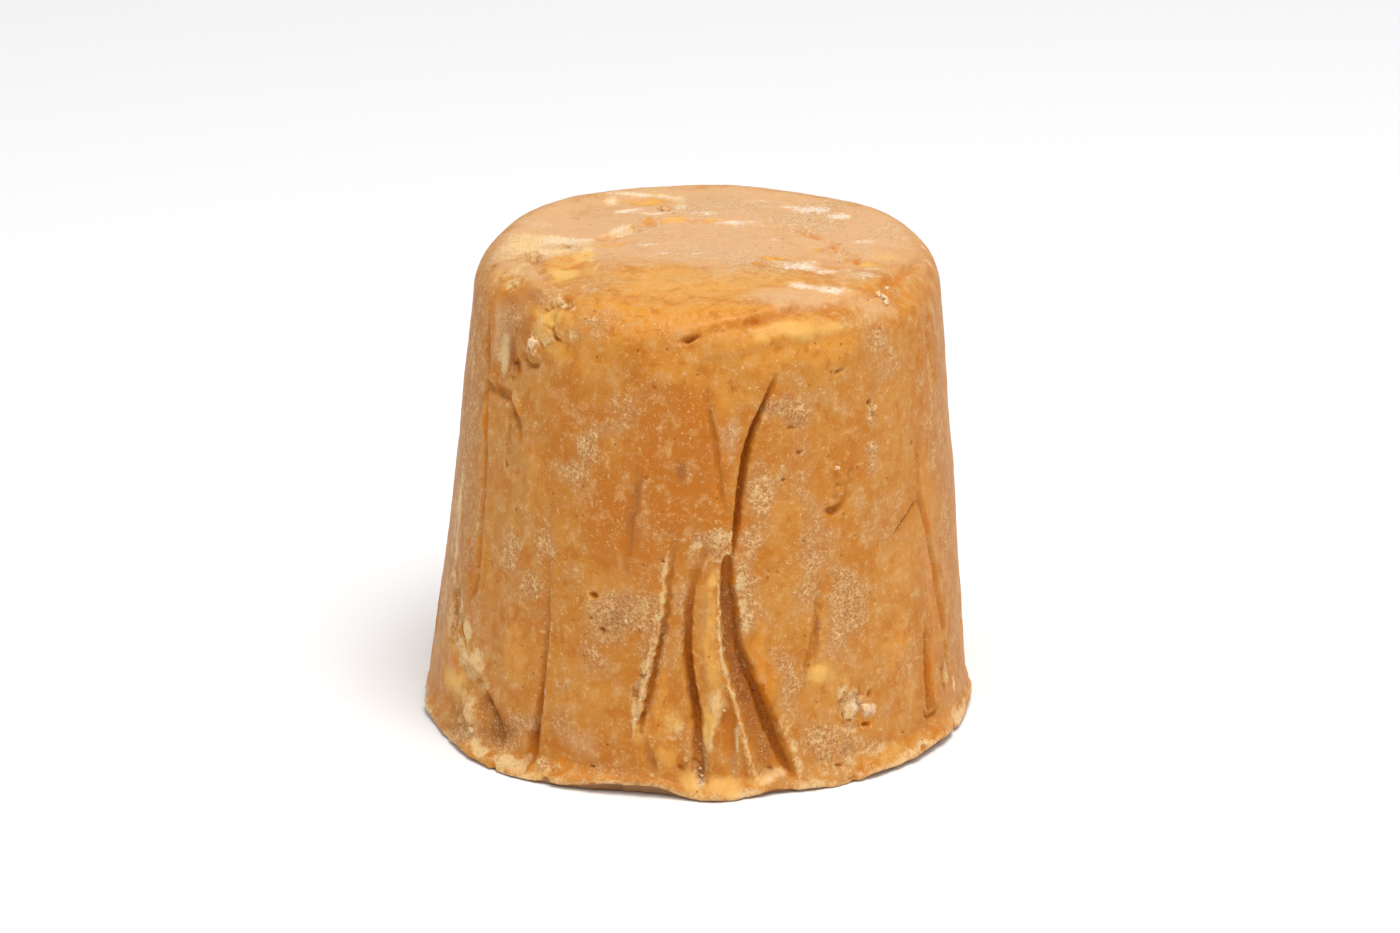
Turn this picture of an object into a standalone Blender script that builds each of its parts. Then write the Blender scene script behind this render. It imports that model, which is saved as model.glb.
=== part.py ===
"""A cast jaggery block: one solid of cane sugar, turned out of a lined, tapered mould.

Metres, +Z up, the origin at the middle of the base. Angles are in degrees from the front, which is
-Y, towards +X. A "run" is the distance from the base edge up the wall, over the rounded rim and in
to the middle of the top, so a run and an angle name any place on the form.
"""

import math
from collections import namedtuple
from functools import partial

import bmesh
import bpy
from mathutils import Vector, noise

MM = 0.001

# Driving dimensions
HEIGHT = 92.5 * MM
BASE_RADIUS = 53.6 * MM
TOP_RADIUS = 44.3 * MM  # where the wall's line would reach the height of the top
RIM_RADIUS = 9.0 * MM  # rounding between the wall and the top
DOME = 1.0 * MM  # rise of the top's middle over its edge
LEAN = 0.027  # sideways shift towards +X for each metre of height

# Mesh: columns run from the base to the top, rings go round
COLUMNS = 112
WALL_RINGS = 23
RIM_RINGS = 5
TOP_RINGS = 7
CROWDING = 3.4  # how much closer the columns stand at a fold than elsewhere
CROWD_SPREAD = 4.0  # degrees
ANGLE_STEPS = 1440  # how finely the columns are shared out
SEAM_MERGE = 0.001 * MM
SHARP_ANGLE = 45  # degrees

# Surface unevenness, as slow noise
SWELL = 0.35 * MM
SWELL_SIZE = 17.0 * MM

# The underside: a flat pad, set back under the lip of the base
PAD_INSET = 1.0 * MM
PAD_INSET_PER_LIFT = 1.2
LIP_THICKNESS = 0.9 * MM
RAGGED = 0.35 * MM
RAGGED_SIZE = 6.0 * MM

COLOUR = (0.62, 0.31, 0.105, 1.0)
ROUGHNESS = 0.55

WALL_TOP = HEIGHT - RIM_RADIUS
TAPER = (BASE_RADIUS - TOP_RADIUS) / HEIGHT
RIM_CENTRE = BASE_RADIUS - TAPER * WALL_TOP - RIM_RADIUS
WALL_RUN = WALL_TOP * math.hypot(1, TAPER)
RIM_RUN = RIM_RADIUS * math.pi / 2
WHOLE_RUN = WALL_RUN + RIM_RUN + RIM_CENTRE

# A crease that the mould's lining left: (run mm, angle) points from its upper end down, its half
# width at either end and its depth, in mm. It deepens over a share of its length at either end, and
# is still partly open at its foot.
Fold = namedtuple("Fold", "path top_width foot_width depth")
FOLDS = (
    Fold(((80, 15), (72, 10.5), (60, 7.5), (50, 6.5)), 1.3, 1.4, 2.4),
    Fold(((47, 5.3), (38, 5.6), (30, 6.5), (22, 9), (14, 12.5), (4, 16)), 1.6, 3.4, 3.0),
    Fold(((50, 1.5), (43, -0.5), (36, -2), (27, -2.5), (18, -1.5), (5, 1.5)), 1.3, 1.5, 2.2),
    Fold(((50, -7), (41, -7.5), (33, -9), (24, -10.5), (15, -11), (9, -12.5)), 1.2, 1.4, 1.5),
    Fold(((87, -64), (79, -63), (69, -62), (58, -60), (46, -58.5), (33, -58)), 1.6, 1.4, 1.3),
    Fold(((32, -69), (25, -63.5), (20, -58.5), (13, -53.5), (8, -47), (2, -39)), 1.4, 1.8, 1.3),
    Fold(((36, -34), (26, -34.5), (16, -35), (5, -35.5)), 1.2, 1.5, 1.0),
    Fold(((57, 57), (50, 58), (38, 59.5), (27, 63), (15, 65.5), (7, 66)), 1.3, 1.4, 1.2),
    Fold(((21, 56), (15, 55), (8, 55.5)), 1.3, 1.5, 1.6),
    Fold(((74, 104), (60, 101), (44, 97), (30, 98)), 1.3, 1.1, 1.3),
    Fold(((46, 130), (34, 127), (20, 129), (6, 134)), 1.3, 2.0, 2.2),
    Fold(((82, 158), (66, 154), (50, 152), (34, 155), (18, 161), (5, 165)), 1.3, 1.7, 2.0),
    Fold(((60, -169), (44, -166), (28, -168), (10, -173)), 1.3, 1.5, 1.4),
    Fold(((78, -141), (62, -138), (46, -139), (30, -143), (12, -142)), 1.4, 1.8, 1.6),
    Fold(((52, -112), (38, -109), (22, -110), (6, -116)), 1.2, 1.9, 1.7),
)

TOP_FADE = 0.2
FOOT_FADE = 0.15
OPEN_FOOT = 0.05

# A broad dent (or, below zero, a swelling): run mm, angle, spread mm, depth mm
Dent = namedtuple("Dent", "run angle spread depth")
DENTS = (
    Dent(106, -156, 5.0, 1.1),
    Dent(104, -82, 6.0, 0.7),
    Dent(80, -57, 5.0, 1.2),
    Dent(92, 78, 9.0, 1.0),
    Dent(88, 24, 7.0, -0.5),
    Dent(40, -84, 9.0, 0.7),
    Dent(10, -62, 5.0, 0.9),
    Dent(16, 33, 4.0, 0.7),
    Dent(17, 80, 2.5, 0.8),
    Dent(62, 128, 12.0, 0.8),
    Dent(30, -150, 9.0, 0.8),
    Dent(95, 150, 8.0, 0.7),
)

# Round the base edge: angle, spread in degrees and amount in mm
Bump = namedtuple("Bump", "angle spread amount")
FLARES = (  # how far the foot stands out
    Bump(-44, 17, 3.0),
    Bump(48, 20, 2.4),
    Bump(3, 6, 1.9),
    Bump(118, 16, 1.4),
    Bump(172, 13, 1.2),
    Bump(-128, 14, 1.6),
)
LIFTS = (  # how far the lip hangs clear of what the block stands on
    Bump(-15, 8, 1.4),
    Bump(14, 4, 0.9),
    Bump(38, 6, 0.5),
    Bump(-78, 9, 2.2),
    Bump(92, 12, 1.2),
    Bump(144, 11, 2.1),
    Bump(-158, 13, 1.9),
    Bump(-112, 8, 1.4),
)
RIM_FILLS = (  # how far the rim stands out past its rounding
    Bump(180, 30, 0.6),
    Bump(-134, 27, 2.2),
    Bump(140, 26, 1.8),
)
FOOT_HEIGHT = 5.0 * MM  # the flare fades out above this
RIM_SPREAD = 5.5 * MM  # how far from its middle the rim's filling reaches


def turn_between(angle, other):
    """The signed turn from other to angle, in degrees, from -180 to 180."""
    return (angle - other + 180) % 360 - 180


def bell(distance, spread):
    return math.exp(-0.5 * (distance / spread) ** 2)


def round_base(bumps, angle):
    """What the bumps add up to at this angle, in metres."""
    return sum(b.amount * MM * bell(turn_between(angle, b.angle), b.spread) for b in bumps)


def profile(run):
    """(radius, height, outward part and upward part of the normal) of the smooth form."""
    tilt = math.atan(TAPER)
    if run <= WALL_RUN:
        height = WALL_TOP * run / WALL_RUN
        return BASE_RADIUS - TAPER * height, height, math.cos(tilt), math.sin(tilt)
    turn = (run - WALL_RUN) / RIM_RUN * math.pi / 2
    if turn <= math.pi / 2:
        radius = RIM_CENTRE + RIM_RADIUS * math.cos(turn)
        return radius, WALL_TOP + RIM_RADIUS * math.sin(turn), math.cos(turn), math.sin(turn)
    inward = min(1.0, (run - WALL_RUN - RIM_RUN) / RIM_CENTRE)
    return RIM_CENTRE * (1 - inward), HEIGHT + DOME * (1 - (1 - inward) ** 2), 0.0, 1.0


def place(run, angle):
    """(point, outward normal) on the smooth form."""
    radius, height, outward, upward = profile(run)
    sine, cosine = math.sin(math.radians(angle)), math.cos(math.radians(angle))
    point = Vector((radius * sine + LEAN * height, -radius * cosine, height))
    return point, Vector((outward * sine, -outward * cosine, upward))


def smooth_step(share):
    share = min(1.0, max(0.0, share))
    return share * share * (3 - 2 * share)


def fold_line(fold, run):
    """(angle, half width, fade) of a fold at this run, or None above or below it."""
    top, foot = fold.path[0][0] * MM, fold.path[-1][0] * MM
    if not foot <= run <= top:
        return None
    for (high, angle_high), (low, angle_low) in zip(fold.path, fold.path[1:]):
        if run >= low * MM:
            share = (high * MM - run) / ((high - low) * MM)
            angle = angle_high + (angle_low - angle_high) * share
            break
    down = (top - run) / (top - foot)
    half_width = (fold.top_width + (fold.foot_width - fold.top_width) * down) * MM
    fade = smooth_step(down / TOP_FADE) * smooth_step((1 + OPEN_FOOT - down) / FOOT_FADE)
    return angle, half_width, fade


def fold_depth(run, angle):
    """How deep the folds cut the wall here."""
    deepest = 0.0
    for fold in FOLDS:
        found = fold_line(fold, run)
        if found is None:
            continue
        fold_angle, half_width, fade = found
        aside = math.radians(turn_between(angle, fold_angle)) * profile(run)[0]
        deepest = max(deepest, fold.depth * MM * fade * bell(aside, half_width))
    return deepest


def dent_depth(point):
    depth = 0.0
    for dent in DENTS:
        centre, _ = place(dent.run * MM, dent.angle)
        depth += dent.depth * MM * bell((point - centre).length, dent.spread * MM)
    return depth


def surface(run, angle):
    """The block's own surface, with its folds, dents and uneven foot."""
    point, normal = place(run, angle)
    swell = SWELL * noise.noise(point / SWELL_SIZE)
    swell += round_base(RIM_FILLS, angle) * bell(run - WALL_RUN - RIM_RUN / 2, RIM_SPREAD)
    moved = point + normal * (swell - fold_depth(run, angle) - dent_depth(point))
    low = max(0.0, 1 - point.z / FOOT_HEIGHT)
    outward = Vector((normal.x, normal.y, 0)).normalized() if low else Vector()
    ragged = RAGGED * noise.noise(point / RAGGED_SIZE)
    moved += outward * (round_base(FLARES, angle) + ragged) * smooth_step(low)
    moved.z += lip_lift(angle) * low
    return moved


def lip_lift(angle):
    """How far the edge of the base hangs clear of what the block stands on."""
    point, _ = place(0, angle)
    return round_base(LIFTS, angle) + RAGGED * max(0.0, 0.5 + noise.noise(point / RAGGED_SIZE))


def column_angles():
    """Angles round the block, closer together where a fold needs them."""
    density = []
    for k in range(ANGLE_STEPS):
        angle = 360 * k / ANGLE_STEPS - 180
        near = (turn_between(angle, a) for fold in FOLDS for _, a in fold.path)
        density.append(1 + CROWDING * bell(min(map(abs, near)), CROWD_SPREAD))
    share, angles, passed = sum(density) / COLUMNS, [], 0.0
    for k, amount in enumerate(density):
        passed += amount
        if passed >= share * (len(angles) + 0.5) and len(angles) < COLUMNS:
            angles.append(360 * k / ANGLE_STEPS - 180)
    return angles


def ring_runs():
    """Runs of the rings, from the base edge to just short of the top's middle."""
    wall = [WALL_RUN * k / WALL_RINGS for k in range(WALL_RINGS)]
    rim = [WALL_RUN + RIM_RUN * k / RIM_RINGS for k in range(RIM_RINGS)]
    top = [WALL_RUN + RIM_RUN + RIM_CENTRE * k / TOP_RINGS for k in range(TOP_RINGS)]
    return wall + rim + top


def underside(angle, share):
    """A point under the lip: share 0 is just inside the lip, and 1 is the edge of the flat pad."""
    lip, lift = surface(0, angle), lip_lift(angle)
    inset = LIP_THICKNESS + (PAD_INSET + PAD_INSET_PER_LIFT * lift) * share
    point = lip - Vector((lip.x, lip.y, 0)).normalized() * inset
    point.z = lift * (1 - share)
    return point


def wrap_grid(shape, rings, angles):
    """Wraps a flat grid round the block: its rows become the rings and its columns the angles."""
    columns = len(angles)
    bmesh.ops.create_grid(shape, x_segments=columns, y_segments=len(rings) - 1, size=0.5)
    for vert in shape.verts:
        column = round((vert.co.x + 0.5) * columns) % columns
        row = round((vert.co.y + 0.5) * (len(rings) - 1))
        vert.co = rings[row](angles[column])
    bmesh.ops.remove_doubles(shape, verts=shape.verts, dist=SEAM_MERGE)


def close_ends(shape):
    """Fills the pad underneath with one flat face, and the top with a fan about its middle."""
    open_edges = [edge for edge in shape.edges if edge.is_boundary]
    ends = bmesh.ops.holes_fill(shape, edges=open_edges, sides=0)["faces"]
    top = max(ends, key=lambda face: face.calc_center_median().z)
    middle = bmesh.ops.poke(shape, faces=[top])["verts"][0]
    middle.co = surface(WHOLE_RUN, 0)


def centre_over_origin(shape):
    xs, ys = [v.co.x for v in shape.verts], [v.co.y for v in shape.verts]
    shift = Vector((max(xs) + min(xs), max(ys) + min(ys), 0)) / -2
    bmesh.ops.translate(shape, verts=shape.verts, vec=shift)


def block_mesh():
    rings = [partial(underside, share=1.0), partial(underside, share=0.0)]
    rings += [partial(surface, run) for run in ring_runs()]
    shape = bmesh.new()
    wrap_grid(shape, rings, column_angles())
    close_ends(shape)
    centre_over_origin(shape)
    bmesh.ops.recalc_face_normals(shape, faces=shape.faces)

    mesh = bpy.data.meshes.new("jaggery_block")
    shape.to_mesh(mesh)
    shape.free()
    mesh.shade_smooth()
    mesh.set_sharp_from_angle(angle=math.radians(SHARP_ANGLE))
    return mesh


def jaggery_material():
    material = bpy.data.materials.new("jaggery")
    material.use_nodes = True
    shader = material.node_tree.nodes["Principled BSDF"]
    shader.inputs["Base Color"].default_value = COLOUR
    shader.inputs["Roughness"].default_value = ROUGHNESS
    shader.inputs["Metallic"].default_value = 0.0
    return material


def main():
    for old in list(bpy.data.objects):
        bpy.data.objects.remove(old)
    mesh = block_mesh()
    mesh.materials.append(jaggery_material())
    block = bpy.data.objects.new("jaggery_block", mesh)
    bpy.context.scene.collection.objects.link(block)


main()
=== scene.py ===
import math

import bmesh
import bpy
import numpy as np
from mathutils import Euler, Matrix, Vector, noise
from mathutils.bvhtree import BVHTree


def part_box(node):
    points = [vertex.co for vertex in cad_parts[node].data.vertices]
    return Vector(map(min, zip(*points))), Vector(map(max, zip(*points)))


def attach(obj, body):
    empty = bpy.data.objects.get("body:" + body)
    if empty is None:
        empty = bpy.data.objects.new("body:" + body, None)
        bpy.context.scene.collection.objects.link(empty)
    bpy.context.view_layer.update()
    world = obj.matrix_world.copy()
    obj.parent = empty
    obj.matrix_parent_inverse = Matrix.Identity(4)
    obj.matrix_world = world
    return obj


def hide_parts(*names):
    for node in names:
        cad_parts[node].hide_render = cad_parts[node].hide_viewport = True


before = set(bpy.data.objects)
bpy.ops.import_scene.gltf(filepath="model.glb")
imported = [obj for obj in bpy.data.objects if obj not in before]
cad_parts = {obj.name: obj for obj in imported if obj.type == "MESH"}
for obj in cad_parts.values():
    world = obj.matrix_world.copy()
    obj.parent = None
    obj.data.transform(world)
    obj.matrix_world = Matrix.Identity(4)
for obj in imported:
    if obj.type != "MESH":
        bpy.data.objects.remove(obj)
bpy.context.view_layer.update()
boxLow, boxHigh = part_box("jaggery_block")
mm = 0.001
print("frame loaded")

# The block is a tapered round cake with a rounded rim. A place on its wall is an angle in degrees
# from the front (-Y) towards +X, and a run, the way up from the base edge in mm, which goes on over
# the rim. A place on its top is x and y in mm from the middle.

blockForm = {
    "height": boxHigh.z / mm - 1.2,
    "baseRadius": (boxHigh.x - boxLow.x) / 2 / mm - 0.3,
    "topRadius": 44.3,  # where the wall's line would meet the height of the top
    "rimRadius": 9.0,
    "dome": 1.0,
    "lean": 0.027,  # towards +X, for each mm of height
    "footHeight": 5.0,  # the flare fades out above this
    "lipThickness": 0.7,
    "padInset": 0.5,
    "padInsetPerLift": 0.4,
    "footRound": 0.6,
    "columns": 256,
    "wallCuts": 64,
    "rimSegments": 10,
    "capSpan": 64,
    "triangles": 197000,
}

# angle, spread in degrees, amount in mm
flares = [
    (-44, 17, 3), (48, 20, 2.4), (1, 4.5, 1.5), (7, 5, 1.3), (-77, 3, 0.9), (-28, 2.5, 0.4), (27, 4, 0.4),
    (118, 16, 1.4), (172, 13, 1.2), (-128, 14, 1.6), (141, 5, 0.8), (-158, 4, 0.7),
]
lifts = [
    (-16, 6.5, 1.9), (-8, 3.5, 1.1), (-31.5, 2.2, 0.5), (15.5, 3.5, 0.9), (40, 5, 0.7), (57, 8, 1.3),
    (-57, 5, 0.4), (-82, 6, 1.8), (92, 12, 1.2), (144, 11, 2.1), (-158, 13, 1.9), (-112, 8, 1.4),
    (123, 5, 0.6), (178, 5, 0.8),
]
rimFills = [(180, 30, 0.6), (-134, 27, 2.2), (140, 26, 1.8)]

# angle, run, spread in mm, depth in mm (below zero stands out)
dents = [
    (-82, 104, 6, 0.5), (-57, 80, 5, 0.9), (78, 92, 9, 0.8), (60, 88.5, 3.2, -0.7), (24, 88, 7, -0.4),
    (-84, 40, 9, 0.7), (-62, 10, 5, 0.7), (33, 16, 4, 0.6), (-66, 55, 5, 0.5), (128, 62, 12, 0.8),
    (-150, 30, 9, 0.8), (150, 95, 8, 0.7), (-36, 6, 4, 0.5), (-4, 84, 5, 0.3),
]

swells = {
    "size": 17.0, "amount": 0.35, "smallSize": 5.0, "smallAmount": 0.13,
    "grainSize": 1.5, "grainAmount": 0.045, "streakAmount": 0.06,
}

tornForm = {
    "rough": 0.6,
    "sunk": 0.2,
    "cells": ((3.4, 1.0), (1.3, 0.4)),  # size and rise, large ones first
    "crackWidth": 0.13,
    "crackDepth": 0.35,
}

creaseForm = {
    "reach": 4.5,  # how far from its path a crease or a raised band is felt, mm
    "raggedSize": 1.6,
    "fineSize": 0.6,
    "fineShare": 0.6,
    "shadeDepth": 1.6,  # a crease this deep has its full painted shade
    "endFade": 0.1,  # share of the length at each end
}


def crease(path, paintedShade, wobble, slopes, footSlopes=None, ledge=(0, 0), pale=(0, 0), paleWidth=0.3,
           crumbly=0.25):
    return {
        "path": path, "paintedShade": paintedShade, "wobble": wobble, "slopes": slopes, "footSlopes": footSlopes or slopes,
        "ledge": ledge, "pale": pale, "paleWidth": paleWidth, "crumbly": crumbly,
    }


# Creases that the folds of the mould's lining left. Each point of a path is angle, run, half width and
# depth. Slopes are how far the left and right banks reach, and a ledge is a step: how much lower the
# right side is (the left side, below zero) and how far that fades out. paintedShade is how much painted
# shade darkens the inside towards orange-brown, in full where the crease is deep.
creases = {
    "mainSlit": crease(paintedShade=0.95, wobble=0.16, slopes=(0.15, 0.4), pale=(0, 0.35), path=[
        (15.8, 81.5, 0.25, 0.3), (15, 80, 0.36, 0.8), (13.3, 76.6, 0.46, 1.5), (11, 72.5, 0.56, 2.1),
        (9.2, 67.5, 0.66, 2.6), (8.4, 63.5, 0.7, 2.7), (7.9, 60, 0.7, 2.7), (7.4, 56, 0.62, 2.7),
        (7, 52.5, 0.52, 2.5), (6.7, 49.8, 0.36, 1.8), (6.5, 47.5, 0.2, 1),
    ]),
    "valley": crease(
        paintedShade=0.5, wobble=0.3, slopes=(0.2, 0.25), footSlopes=(0.25, 1.3), pale=(1, 0), crumbly=0.7, path=[
        (5.3, 46.6, 0.95, 1.9), (5.1, 42.5, 1.1, 2.5), (5.4, 37, 1.2, 2.9), (6.1, 31, 1.5, 3),
        (7.6, 26, 1.9, 3), (9.8, 21, 2.3, 3), (11.4, 16.5, 2.6, 2.7), (13.4, 11, 2.8, 2.2),
        (15.4, 6, 3.2, 1.1), (16.4, 2.5, 3.2, 0.2),
    ]),
    "valleyCrack": crease(paintedShade=0.85, wobble=0.25, slopes=(1.3, 0.7), path=[
        (6.3, 41, 0.2, 2.6), (7, 36, 0.3, 3.1), (8, 30, 0.45, 3.5), (10, 25, 0.6, 3.8),
        (12.6, 19.5, 0.8, 4), (14.6, 14.6, 1, 3.9), (16.6, 10, 1, 3.3), (18.4, 6, 0.8, 2.2),
        (19.8, 3.4, 0.4, 0.9),
    ]),
    "groove2": crease(paintedShade=0.8, wobble=0.26, slopes=(0.8, 0.25), pale=(0, 0.5), path=[
        (0.6, 50, 0.35, 0.2), (0.1, 47.5, 0.45, 0.5), (-1, 45, 0.55, 0.8), (-2.2, 41, 0.65, 1.1),
        (-2.7, 37.5, 0.65, 1.4), (-2.8, 34, 0.65, 1.7), (-2.8, 30, 0.65, 2.1), (-2.3, 26, 0.65, 2.6),
        (-1.6, 22.5, 0.7, 2.9), (-0.9, 19, 0.7, 2.9), (-0.2, 15.5, 0.75, 2.6), (0, 12.5, 0.8, 2),
        (0.1, 9, 1.1, 1.2), (0.4, 5.5, 1.1, 0.8), (1.2, 2.5, 0.8, 0.4),
    ]),
    "groove3": crease(
        paintedShade=0.62, wobble=0.4, slopes=(0.14, 0.8), ledge=(0.6, 3.2), pale=(1, 0), paleWidth=0.4,
        crumbly=0.6, path=[
        (-6.8, 52, 0.3, 0.15), (-7.2, 46, 0.35, 0.5), (-7.75, 42, 0.36, 0.8), (-7.8, 37.5, 0.36, 1.1),
        (-8.2, 34.5, 0.36, 1.3), (-9, 30.5, 0.34, 1.5), (-9.6, 27.5, 0.3, 1.4), (-10.1, 25, 0.34, 1.5),
        (-10.7, 21, 0.36, 1.6), (-11.3, 18.5, 0.34, 1.5), (-11.9, 16, 0.3, 1.4), (-12.4, 12.5, 0.28, 1),
    ]),
    "groove3Foot": crease(paintedShade=0.3, wobble=0.2, slopes=(0.5, 0.3), ledge=(-0.2, 2), pale=(0, 0.3), path=[
        (-11.4, 12.5, 0.4, 0.3), (-10.8, 10, 0.6, 0.5), (-10, 8, 0.8, 0.9), (-9.4, 6.4, 0.7, 1),
        (-9.4, 4.6, 0.4, 0.4),
    ]),
    "ridgeHollow": crease(paintedShade=0.38, wobble=0.22, slopes=(0.8, 0.35), pale=(0.1, 0.4), path=[
        (5.3, 21.4, 0.4, 0.3), (5.9, 18, 1, 1), (6.2, 14.5, 1.3, 1.4), (6.4, 10.5, 1.2, 1.2),
        (6.8, 6.5, 0.9, 0.7), (7.4, 3, 0.6, 0.3),
    ]),
    "stain4": crease(paintedShade=0.25, wobble=0.3, slopes=(0.6, 0.5), path=[
        (-16.2, 64.5, 0.2, 0.15), (-16.5, 59.5, 0.6, 0.4), (-17, 55.5, 0.8, 0.5), (-17, 51.5, 0.8, 0.5),
        (-17.3, 46, 0.7, 0.4), (-17.5, 41, 0.5, 0.2),
    ]),
    "leftCrease2": crease(
        paintedShade=0.55, wobble=0.26, slopes=(1.2, 0.12), ledge=(-0.45, 3), pale=(0, 0.5), path=[
        (-35.8, 46, 0.2, 0.1), (-35.5, 38, 0.25, 0.5), (-35, 30.5, 0.3, 0.9), (-35, 24, 0.32, 1.1),
        (-35, 18, 0.4, 1.4), (-35.3, 13.5, 0.5, 1.8), (-36, 9.5, 0.7, 2.2), (-36.4, 6.5, 0.9, 2.3),
        (-36.2, 4, 0.9, 1.9), (-36.6, 2, 0.6, 1.1),
    ]),
    "leftLedge": crease(
        paintedShade=1, wobble=0.14, slopes=(1.8, 0.15), ledge=(-0.9, 3.5), pale=(0.3, 0.6), path=[
        (-70, 90, 0.3, 0.5), (-69, 86.5, 0.6, 1.6), (-67.6, 82, 0.7, 2.1), (-66, 77.5, 0.75, 2.3),
        (-64.4, 71.5, 0.7, 2.2), (-63.2, 66.5, 0.65, 2), (-62.3, 60, 0.6, 1.9), (-61, 53, 0.6, 1.8),
        (-60, 47, 0.55, 1.6), (-58.9, 42.5, 0.5, 1.4), (-58.4, 38, 0.45, 1.2), (-58.5, 34.5, 0.4, 1),
        (-59, 31.6, 0.35, 0.7), (-61, 29.6, 0.25, 0.3),
    ]),
    "leftLine": crease(paintedShade=0.3, wobble=0.08, slopes=(0.12, 0.4), ledge=(0.25, 2), pale=(0.2, 0), path=[
        (-53.6, 70.5, 0.2, 0.2), (-52.9, 65.5, 0.3, 0.6), (-52.5, 60.5, 0.2, 0.2),
    ]),
    "hookHollow": crease(paintedShade=0.4, wobble=0.2, slopes=(0.2, 1.2), pale=(0.5, 0.2), paleWidth=0.4, path=[
        (-62.8, 71.2, 0.6, 0.9), (-60, 71.2, 0.9, 1.2), (-56.6, 71.2, 0.9, 1.2), (-54, 71.2, 0.7, 1),
        (-52.2, 69.6, 0.5, 0.9), (-50.4, 67.4, 0.5, 0.9), (-48.8, 65.4, 0.3, 0.4),
    ]),
    "crumbCrack": crease(paintedShade=0.8, wobble=0.15, slopes=(0.3, 0.2), pale=(0.2, 0.2), path=[
        (-43.8, 91, 0.2, 0.4), (-42.4, 89, 0.3, 1.2), (-41.6, 87.2, 0.35, 1.5), (-40.2, 86, 0.4, 1.5),
        (-38.2, 85.6, 0.25, 0.6),
    ]),
    "crumbShade": crease(paintedShade=0.32, wobble=0.6, slopes=(0.5, 0.6), path=[
        (-50.6, 80.6, 0.3, 0.5), (-48.6, 79.8, 0.5, 1), (-46, 79.2, 0.5, 1.1), (-44.2, 80, 0.3, 0.5),
    ]),
    "leftLow": crease(paintedShade=0.45, wobble=0.3, slopes=(0.6, 0.15), ledge=(-0.7, 4), pale=(0.3, 0.6), path=[
        (-74, 35, 0.3, 0.3), (-72, 31, 0.6, 1.3), (-69.6, 28.4, 0.6, 1.4), (-66.6, 26, 0.5, 1.2),
        (-63.6, 23.5, 0.4, 1), (-61.2, 20.6, 0.35, 0.8), (-58.6, 18.4, 0.3, 0.4),
    ]),
    "leftLowCrack": crease(
        paintedShade=0.22, wobble=0.45, slopes=(0.9, 0.3), ledge=(-0.5, 4), pale=(0.3, 0.2), path=[
        (-64, 17.6, 0.25, 0.2), (-61, 16.6, 0.35, 0.4), (-57.6, 15.6, 0.4, 0.5), (-54, 14.6, 0.5, 0.6),
        (-51, 12.8, 0.6, 0.8), (-48.6, 10.6, 0.7, 0.9), (-46.6, 8.4, 0.6, 0.7), (-45, 6, 0.4, 0.3),
    ]),
    "rimCrease": crease(paintedShade=0.3, wobble=0.26, slopes=(0.3, 1.8), pale=(0.3, 0.1), crumbly=0.5, path=[
        (-2.5, 89.8, 0.4, 0.9), (2, 91, 0.5, 1.1), (9.5, 91.8, 0.6, 1.3), (13.5, 92.6, 0.7, 1.5),
        (19.5, 93.8, 0.7, 1.4), (26.5, 94, 0.6, 1.1), (34.5, 93.3, 0.5, 0.7), (44.5, 93.5, 0.6, 0.9),
        (52, 94, 0.7, 1.1), (62, 94.8, 0.8, 1.1), (72, 94.6, 0.8, 1.1), (84, 93.2, 0.7, 0.9),
        (91, 91.4, 0.4, 0.5),
    ]),
    "rimPit": crease(paintedShade=0.6, wobble=0.1, slopes=(0.3, 0.6), pale=(0.2, 0), path=[
        (-6.9, 88.5, 0.4, 0.9), (-5.2, 88.9, 0.6, 2), (-3.4, 89.7, 0.5, 1.8), (-1.6, 90.3, 0.35, 1),
    ]),
    "rightLong": crease(paintedShade=0.45, wobble=0.08, slopes=(0.15, 1.6), ledge=(0.5, 4), pale=(0.4, 0), path=[
        (56.6, 62, 0.2, 0.1), (57.2, 59.5, 0.3, 0.5), (57.8, 55, 0.4, 1.1), (57.7, 51, 0.5, 1.5),
        (58.8, 48, 0.5, 1.6), (60.2, 44, 0.6, 1.7), (61.5, 39, 0.65, 1.7), (62.7, 35, 0.7, 1.7),
        (63.7, 30, 0.7, 1.7), (64.7, 26, 0.7, 1.6), (65.7, 21.5, 0.65, 1.5), (66.7, 16, 0.55, 1.2),
        (68, 12, 0.4, 0.7), (69, 9.5, 0.3, 0.3),
    ]),
    "rightBranch": crease(
        paintedShade=0.32, wobble=0.07, slopes=(0.1, 0.3), ledge=(0.5, 2.5), pale=(0.4, 0), path=[
        (57.4, 50.9, 0.25, 0.7), (55, 49.8, 0.3, 1), (52.5, 48.5, 0.32, 1), (50, 47.2, 0.3, 0.7),
        (47.6, 45.9, 0.25, 0.2),
    ]),
    "rightGouge": crease(paintedShade=0.75, wobble=0.12, slopes=(0.1, 1.5), pale=(0.5, 0.2), path=[
        (56.8, 23.6, 0.3, 0.6), (57, 21, 0.6, 2), (57.2, 17.5, 0.8, 3), (57.4, 13.5, 1, 3.4),
        (57.6, 10, 1, 3.2), (58.4, 7.2, 0.9, 2.6),
    ]),
    "rightGougeFoot": crease(paintedShade=0.5, wobble=0.15, slopes=(0.5, 0.12), pale=(0, 0.5), path=[
        (56, 7.6, 0.3, 0.8), (57.6, 6, 0.5, 1.6), (59.6, 5.4, 0.5, 1.5), (61.4, 6.6, 0.3, 0.6),
    ]),
    "farRightLine": crease(paintedShade=0.15, wobble=0.1, slopes=(0.2, 1.6), ledge=(0.3, 4), pale=(0.3, 0), path=[
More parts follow.
